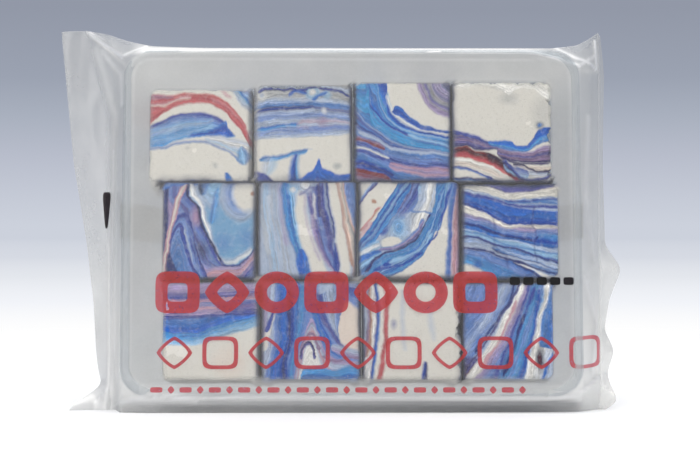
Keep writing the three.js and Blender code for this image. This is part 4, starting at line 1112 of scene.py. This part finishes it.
class Shader:
    """A material's node tree, with a short way to add each kind of node that repeats."""

    def __init__(self, name):
        self.material = bpy.data.materials.new(name)
        self.material.use_nodes = True
        self.tree = self.material.node_tree
        self.tree.nodes.clear()
        self.place = self.add("TexCoord").outputs["Object"]

    def add(self, kind, inputs=None, **settings):
        return node(self.tree, kind, inputs, **settings)

    def calc(self, operation, a, b=0.0, c=0.0, clamp=False):
        return self.add("Math", {0: a, 1: b, 2: c}, operation=operation,
                        use_clamp=clamp).outputs[0]

    def vector(self, operation, a, b=(0.0, 0.0, 0.0), scale=1.0):
        inputs = {0: a, "Scale": scale} if operation == "SCALE" else {0: a, 1: b}
        return self.add("VectorMath", inputs, operation=operation).outputs[0]

    def noise(self, vector, scale, detail, roughness=0.5, output="Fac"):
        return self.add("TexNoise", {"Vector": vector, "Scale": scale, "Detail": detail,
                                     "Roughness": roughness}).outputs[output]

    def span(self, value, low, high, start, end):
        """Turns values from low to high into values from start to end."""
        return self.add("MapRange", {"Value": value, "From Min": low, "From Max": high,
                                     "To Min": start, "To Max": end}).outputs[0]

    def value(self, name):
        return self.add("Attribute", attribute_name=name).outputs["Fac"]

    def blend(self, share, under, over):
        return self.add("Mix", {"Factor": share, 6: under, 7: over},
                        data_type="RGBA").outputs[2]

    def ramp(self, share, stops):
        return colour_ramp(self.tree, share, stops)

    def bump(self, height, strength, distance):
        return self.add("Bump", {"Height": height, "Strength": strength,
                                 "Distance": distance}).outputs[0]

    def coat(self, colour, roughness, ior, bump):
        return self.add("BsdfPrincipled", {"Base Color": colour, "Roughness": roughness,
                                           "IOR": ior, "Normal": bump}).outputs[0]

    def clear(self, hex_colour):
        return self.add("BsdfTransparent", {"Color": linear(hex_colour)}).outputs[0]

    def mix(self, share, under, over):
        return self.add("MixShader", {0: share, 1: under, 2: over}).outputs[0]

    def finish(self, surface):
        self.add("OutputMaterial", {"Surface": surface})
        return self.material


def opaque(hex_colour):
    return (*linear(hex_colour), 1)


def colour_ramp(tree, share, stops):
    """The colour at a share of the way through (place, hex colour) stops."""
    made = node(tree, "ValToRGB", {"Fac": share})
    elements = made.color_ramp.elements
    while len(elements) < len(stops):
        elements.new(0.5)
    for i, (place, hex_colour) in enumerate(stops):
        elements[i].position = place
        elements[i].color = opaque(hex_colour)
    return made.outputs["Color"]


def polypropylene_film(look):
    """Cast polypropylene film, heat sealed: clear with a fine milky grain, a soft gloss that
    breaks up over its wrinkles, and whitened creases. The same whitening draws painted highlights
    along the tray's rim and the folds, and a dark tint draws painted shade along the bottom."""
    s = Shader("Cast polypropylene film")
    haze, crease, folded = s.value("haze"), s.value("crease"), s.value("folded")
    clouds = s.noise(s.place, 70.0, 3.0, 0.55)
    grain = s.noise(s.place, 1500.0, 2.0, 0.6)
    milky = s.calc("MULTIPLY", haze, s.calc("MULTIPLY_ADD", clouds, 0.35, 0.83))
    milky = s.calc("ADD", milky, s.calc("MULTIPLY_ADD", grain, 0.14, -0.07))
    milky = s.calc("MULTIPLY", milky, look.film_haze * 2)
    # Creases, and the painted highlights drawn the same way, are more opaque, whiter and glossier
    share = s.calc("ADD", milky, s.calc("MULTIPLY", crease, 0.62), clamp=True)
    bump = s.bump(grain, 0.12, 0.0002)
    # Painted shade: along the bottom of the front the haze is tinted dark grey, and it glosses
    # less there
    tint = s.blend(folded, (*look.film_tint, 1), opaque("#3E404B"))
    tint = s.blend(crease, tint, (0.95, 0.95, 0.95, 1))
    lit = s.add("BsdfDiffuse", {"Color": tint, "Normal": bump}).outputs[0]
    glow = s.add("BsdfTranslucent", {"Color": tint}).outputs[0]
    body = s.mix(share, s.clear("#F8F8F7"), s.mix(0.35, lit, glow))
    gloss = s.add("BsdfGlossy", {"Color": (0.9, 0.92, 0.95), "Roughness": 0.33, "Normal": bump},
                  distribution="GGX").outputs[0]
    # One weight for both faces of the film, as a sheet this thin mirrors alike from both sides
    tilt = s.add("LayerWeight", {"Blend": 0.2, "Normal": bump}).outputs["Facing"]
    edge = s.calc("MULTIPLY_ADD", crease, 0.3, s.calc("MULTIPLY_ADD", tilt, 0.34, 0.04))
    edge = s.calc("MULTIPLY", edge, s.calc("MULTIPLY_ADD", folded, -0.85, 1.0))
    return s.finish(s.mix(edge, body, gloss))


def thermoformed_tray(look):
    """Thin PET sheet, vacuum formed: clear but slightly milky, thinner and clearer where it was
    drawn, with a soft uneven gloss."""
    s = Shader("Thermoformed PET sheet")
    share = s.span(s.noise(s.place, 45.0, 3.0), 0.3, 0.7, 0.24, 0.34)
    ripple = s.noise(s.place, 160.0, 2.0)
    sheet = s.coat(tuple(look.tray_tint), s.span(ripple, 0.3, 0.7, 0.2, 0.36), 1.57,
                   s.bump(ripple, 0.08, 0.0005))
    return s.finish(s.mix(share, s.clear("#F2F5F8"), sheet))


def film_ink(name, colour, strength):
    """Printed ink on film: a thin even coat that lets a little of what is behind it through,
    slightly mottled where the plate pressed unevenly."""
    s = Shader(name)
    mottle = s.noise(s.place, 900.0, 3.0, 0.6)
    share = s.span(mottle, 0.3, 0.7, strength - 0.08, min(1.0, strength + 0.06))
    coat = s.coat((*colour, 1), s.span(mottle, 0.3, 0.7, 0.3, 0.42), 1.4,
                  s.bump(mottle, 0.1, 0.0001))
    return s.finish(s.mix(share, s.clear("#FFCCE3"), coat))


REACH = 18.0  # a square's edges are drawn from this far left or below its middle to as far beyond
OPEN_END = 15.5  # an edge that ends nearer the middle than this ends on the square's face


def taper(line, other):
    """Ends a ribbon's edge where its points end, by carrying it past the ribbon's other edge."""
    def past(end, facing, inner):
        across = facing[1] - end[1]
        return (end[0] + math.copysign(0.9, end[0] - inner[0]),
                end[1] + across / 2 + math.copysign(0.8, across))

    first, last = line[0], line[-1]
    return [*([past(first, other[0], last)] if abs(first[0]) < OPEN_END else []), *line,
            *([past(last, other[-1], first)] if abs(last[0]) < OPEN_END else [])]


def edge_curve(tree, share_along, line):
    """The height of a ribbon's edge, from a curve through its points, as a share of the reach."""
    curve = node(tree, "FloatCurve", {"Value": share_along})
    drawn = curve.mapping.curves[0]
    while len(drawn.points) < len(line):
        drawn.points.new(0.5, 0.5)
    curve.mapping.clip_min_y, curve.mapping.clip_max_y = -1.0, 2.0
    curve.mapping.extend = "HORIZONTAL"
    for point, (s, t) in zip(drawn.points, sorted(line)):
        point.location = (s / (2 * REACH) + 0.5, t / (2 * REACH) + 0.5)
        point.handle_type = "AUTO_CLAMPED"
    curve.mapping.update()
    return curve.outputs[0]


def ring_mask(s, u, v, first, outer, soft):
    """Where a ring lies, how far out in it each place is, and how far across from its middle."""
    centre_u, centre_v, squeeze, inner = first
    across = s.calc("ADD", u, -centre_u)
    up = s.calc("MULTIPLY_ADD", v, squeeze, -centre_v * squeeze)
    away = s.calc("SQRT", s.calc("ADD", s.calc("MULTIPLY", across, across),
                                 s.calc("MULTIPLY", up, up)))
    mask = s.calc("MULTIPLY_ADD", away, -1 / soft, outer / soft + 0.5, True)
    if inner is not None:
        mask = s.calc("MULTIPLY", mask, s.calc("MULTIPLY_ADD", away, 1 / soft,
                                               -inner / soft + 0.5, True))
    start = inner or 0.0
    share = s.calc("MULTIPLY_ADD", away, 1 / (outer - start), -start / (outer - start))
    return mask, share, across


def band_mask(s, key, t, first, second, soft):
    """Where a ribbon between two edges lies, and how far from one to the other each place is."""
    sharp = 2 * REACH / soft
    low = high = None
    if first is not None:
        low = edge_curve(s.tree, key, taper(first, second) if second else first)
        mask = s.calc("MULTIPLY_ADD", s.calc("SUBTRACT", t, low), sharp, 0.5, True)
    if second is not None:
        high = edge_curve(s.tree, key, taper(second, first) if first else second)
        under = s.calc("MULTIPLY_ADD", s.calc("SUBTRACT", high, t), sharp, 0.5, True)
        mask = under if first is None else s.calc("MULTIPLY", mask, under)
    if low is None:
        return mask, s.calc("MULTIPLY_ADD", s.calc("SUBTRACT", high, t), -4.0, 1.0)
    if high is None:
        return mask, s.calc("MULTIPLY", s.calc("SUBTRACT", t, low), 4.0)
    gap = s.calc("MAXIMUM", s.calc("SUBTRACT", high, low), 0.004)
    return mask, s.calc("DIVIDE", s.calc("SUBTRACT", t, low), gap)


def streaky_tone(s, tones, streak, share, span, seed, number):
    """A ribbon's colour: its tones in turn across it, drawn out into threads along it, with fine
    dark and pale veins where two colours were pulled together."""
    def lines_along(along_it, across_it, layer, detail, roughness):
        place = s.add("CombineXYZ", {"X": along_it, "Y": across_it, "Z": layer}).outputs[0]
        return s.noise(place, 1.0, detail, roughness)

    def vein(veins, level, width, strength):
        return s.span(s.calc("ABSOLUTE", s.calc("ADD", veins, -level)), 0.0, width, strength, 1.0)

    threads = lines_along(span, s.calc("MULTIPLY", share, 3.0 + 1.6 * len(tones)), float(seed),
                          5.0, 0.62)
    share = s.calc("ADD", share, s.calc("MULTIPLY_ADD", threads, 2 * streak, -streak))
    colour = s.ramp(share, [((i + 0.5) / len(tones), TONES[tone])
                            for i, tone in enumerate(tones)])
    veins = lines_along(s.calc("MULTIPLY", span, 0.8),
                        s.calc("MULTIPLY", share, 8.0 + 3.0 * len(tones)),
                        seed + 0.5 * number, 2.0, 0.5)
    strength = s.calc("MULTIPLY_ADD", threads, 1.1, 0.41)
    strength = s.calc("MULTIPLY", strength, vein(veins, 0.47, 0.045, 0.52))
    strength = s.calc("MULTIPLY", strength, vein(veins, 0.57, 0.04, 1.5))
    return s.vector("SCALE", colour, scale=strength)


def marbled_marshmallow(name, middle, ground, ribbons, seed):
    """Whipped marshmallow, poured in coloured ribbons, set and cut: a matt, dry, slightly
    powdered face with fine pores, and ribbons that fray into threads where they were folded."""
    s = Shader("Marbled marshmallow " + name)
    # Undoes the pack's lean and measures in mm from the middle of the square's front face
    flat = s.add("Mapping", {"Vector": s.place, "Scale": (1000,) * 3,
                             "Location": (MIDDLE_X - middle[0], MIDDLE_Y, 0)}).outputs[0]
    level = s.add("VectorRotate", {"Vector": flat, "Angle": LEAN}, rotation_type="X_AXIS")
    own = s.vector("ADD", level.outputs[0], (0, 0, -middle[2]))
    depth = s.add("SeparateXYZ", {0: own}).outputs["Y"]
    shifted = s.vector("ADD", own, (seed * 31.0, seed * 17.0, 0))
    fray = s.vector("SUBTRACT", s.noise(shifted, 0.09, 7.0, 0.71, "Color"), (0.5, 0.5, 0.5))
    fold = s.calc("MAXIMUM", s.calc("MULTIPLY_ADD", depth, 0.42, 3.1), 3.1)
    moved = s.vector("ADD", own, s.vector("SCALE", fray, scale=fold))
    split = s.add("SeparateXYZ", {0: moved})
    u, v = split.outputs["X"], split.outputs["Z"]
    u_share, v_share = (s.calc("MULTIPLY_ADD", place, 1 / (2 * REACH), 0.5) for place in (u, v))
    colour = opaque(TONES[ground])
    for number, (kind, first, second, tones, soft, streak, cover) in enumerate(ribbons):
        if kind == "ring":
            mask, share, across = ring_mask(s, u, v, first, second, soft)
            span = s.calc("MULTIPLY_ADD", across, 0.02, number * 3.7)
        else:
            key, t = (u_share, v_share) if kind == "rise" else (v_share, u_share)
            mask, share = band_mask(s, key, t, first, second, soft)
            span = s.calc("MULTIPLY_ADD", key, 2.2, number * 3.7)
        tone = opaque(TONES[tones[0]]) if len(tones) == 1 else streaky_tone(
            s, tones, streak, share, span, seed, number)
        if cover < 1:
            mask = s.calc("MULTIPLY", mask, cover)
        colour = s.blend(mask, colour, tone)

    # Dry crumb: pale powder, faint mottling and pores
    powder = s.noise(shifted, 0.55, 5.0, 0.7)
    colour = s.blend(s.span(powder, 0.5, 0.8, 0.0, 0.25), colour, opaque("#E4E4E4"))
    pores = s.add("TexVoronoi", {"Vector": shifted, "Scale": 1.1}).outputs["Distance"]
    hole = s.span(pores, 0.1, 0.32, 0.86, 1.0)
    crumb = s.noise(shifted, 2.2, 4.0, 0.65)
    bump = s.bump(s.calc("ADD", crumb, hole), 0.5, 0.0003)
    # Painted shade: the sides facing the next square, and the rim of the face beside them, are
    # darkened towards navy
    colour = s.blend(s.calc("MULTIPLY", s.value("pressed"), 0.9),
                     s.vector("SCALE", colour, scale=hole), opaque("#2E385C"))
    return s.finish(s.coat(colour, s.span(powder, 0.3, 0.7, 0.74, 0.95), 1.43, bump))


# ---------------------------------------------------------------- the stage

def paper_floor():
    """A sweep of white paper: white and matt near the pack; further out it glows, painted backdrop
    light that greys with distance.
    """
    s = Shader("White paper sweep")
    away = s.add("VectorMath", {0: s.place}, operation="LENGTH").outputs["Value"]
    fibre = s.noise(s.place, 400.0, 3.0)
    tone = s.ramp(s.calc("MULTIPLY", away, 0.1), [
        (0.0, "#FFFFFF"), (0.05, "#FFFFFF"), (0.09, "#F2F4F9"), (0.165, "#E4E7ED"),
        (0.3, "#D6DAE3"), (0.8, "#CCD1DC")])
    paper = s.add("BsdfDiffuse", {"Color": linear("#F4F5F7"),
                                  "Normal": s.bump(fibre, 0.05, 0.0005)}).outputs[0]
    painted_glow = s.add("Emission", {"Color": tone, "Strength": 1.0}).outputs[0]
    return s.finish(s.mix(s.span(away, 0.16, 0.5, 0.0, 1.0), paper, painted_glow))


FLOOR_RADIUS = 40
SKY = [(0.0, "#CCD1DC"), (0.012, "#C6CBD7"), (0.035, "#B8BDCB"), (0.055, "#A9B0BE"),
       (0.075, "#9BA2B1"), (0.11, "#9298A7"), (0.35, "#B4B8C2"), (0.8, "#F0F2F6")]
# Soft lights: place, what they point at, size in metres and power in watts
LIGHTS = {
    "light_overhead": ((0.0, -0.25, 0.95), (0.0, 0.02, 0.05), 0.8, 4.2),
    "light_front": ((-0.35, -1.1, 0.55), (0, 0, 0.05), 0.7, 3.2),
    "light_right": ((0.95, -0.5, 0.35), (0, 0, 0.06), 0.6, 1.2),
    "light_behind": ((0.1, 0.7, 0.7), (0, 0, 0.08), 0.7, 2.0),
}


class MARSHMALLOW_OT_stage(bpy.types.Operator):
    """Set the pale floor, the soft lights, the backdrop and the camera"""

    bl_idname = "marshmallow.stage"
    bl_label = "Stage"

    def execute(self, context):
        scene = context.scene
        start_clean()
        bpy.ops.mesh.primitive_circle_add(vertices=96, radius=FLOOR_RADIUS, fill_type="NGON",
                                          location=(0, 0, -0.00005))
        floor = name_piece("floor")
        bpy.ops.object.transform_apply(location=True, rotation=True, scale=True)
        edit_all(*((bpy.ops.mesh.inset, {"thickness": thickness, "depth": 0})
                   for thickness in (FLOOR_RADIUS * (1 - 0.02), 0.3)))
        floor.data.materials.append(paper_floor())

        world = bpy.data.worlds.new("Pale studio")
        scene.world = world
        world.use_nodes = True
        tree = world.node_tree
        tree.nodes.clear()
        place = node(tree, "TexCoord").outputs["Generated"]
        sky = colour_ramp(tree, node(tree, "SeparateXYZ", {0: place}).outputs["Z"], SKY)
        background = node(tree, "Background", {"Color": sky, "Strength": 1.0})
        node(tree, "OutputWorld", {"Surface": background.outputs[0]})

        for name, (place, target, size, power) in LIGHTS.items():
            start_clean()
            bpy.ops.object.light_add(type="AREA", location=place)
            light = bpy.context.active_object
            light.name = name
            light.data.size = size
            light.data.energy = power
            light.data.color = (1.0, 0.95, 0.87)
            light.rotation_euler = (Vector(target) - Vector(place)).to_track_quat(
                "-Z", "Y").to_euler()

        # The camera is level and looks along +Y; its place and lens suit a picture 700 by 450
        bpy.ops.object.camera_add(location=(3.03 * MM, -643.1 * MM, 59.7 * MM),
                                  rotation=(math.radians(90), 0, 0))
        camera = bpy.context.active_object
        camera.name = "camera"
        camera.data.sensor_width = 36
        camera.data.lens = 100.68
        camera.data.clip_start, camera.data.clip_end = 0.01, 200
        scene.camera = camera
        scene.view_settings.view_transform = "Standard"
        scene.view_settings.look = "None"
        return {"FINISHED"}


class MARSHMALLOW_PT_pack(bpy.types.Panel):
    """Lists the pack's pieces and their sizes"""

    bl_label = "Marshmallow pack"
    bl_idname = "MARSHMALLOW_PT_pack"
    bl_space_type = "VIEW_3D"
    bl_region_type = "UI"
    bl_category = "Marshmallow pack"

    def draw(self, context):
        for made in OPERATORS:
            self.layout.operator(made.bl_idname)
        look = context.scene.marshmallow_look
        for name in look.bl_rna.properties.keys():
            if name not in ("rna_type", "name"):
                self.layout.prop(look, name)


OPERATORS = (MARSHMALLOW_OT_stage, MARSHMALLOW_OT_film, MARSHMALLOW_OT_tray,
             MARSHMALLOW_OT_sweets, MARSHMALLOW_OT_print)
CLASSES = (PackLook, *OPERATORS, MARSHMALLOW_PT_pack)


def register():
    for made in CLASSES:
        bpy.utils.register_class(made)
    bpy.types.Scene.marshmallow_look = bpy.props.PointerProperty(type=PackLook)


def unregister():
    del bpy.types.Scene.marshmallow_look
    for made in reversed(CLASSES):
        bpy.utils.unregister_class(made)


def main():
    register()
    bpy.ops.marshmallow.stage()
    bpy.ops.marshmallow.film()
    bpy.ops.marshmallow.tray()
    bpy.ops.marshmallow.sweets()
    bpy.ops.marshmallow.print()


if __name__ == "__main__":
    main()
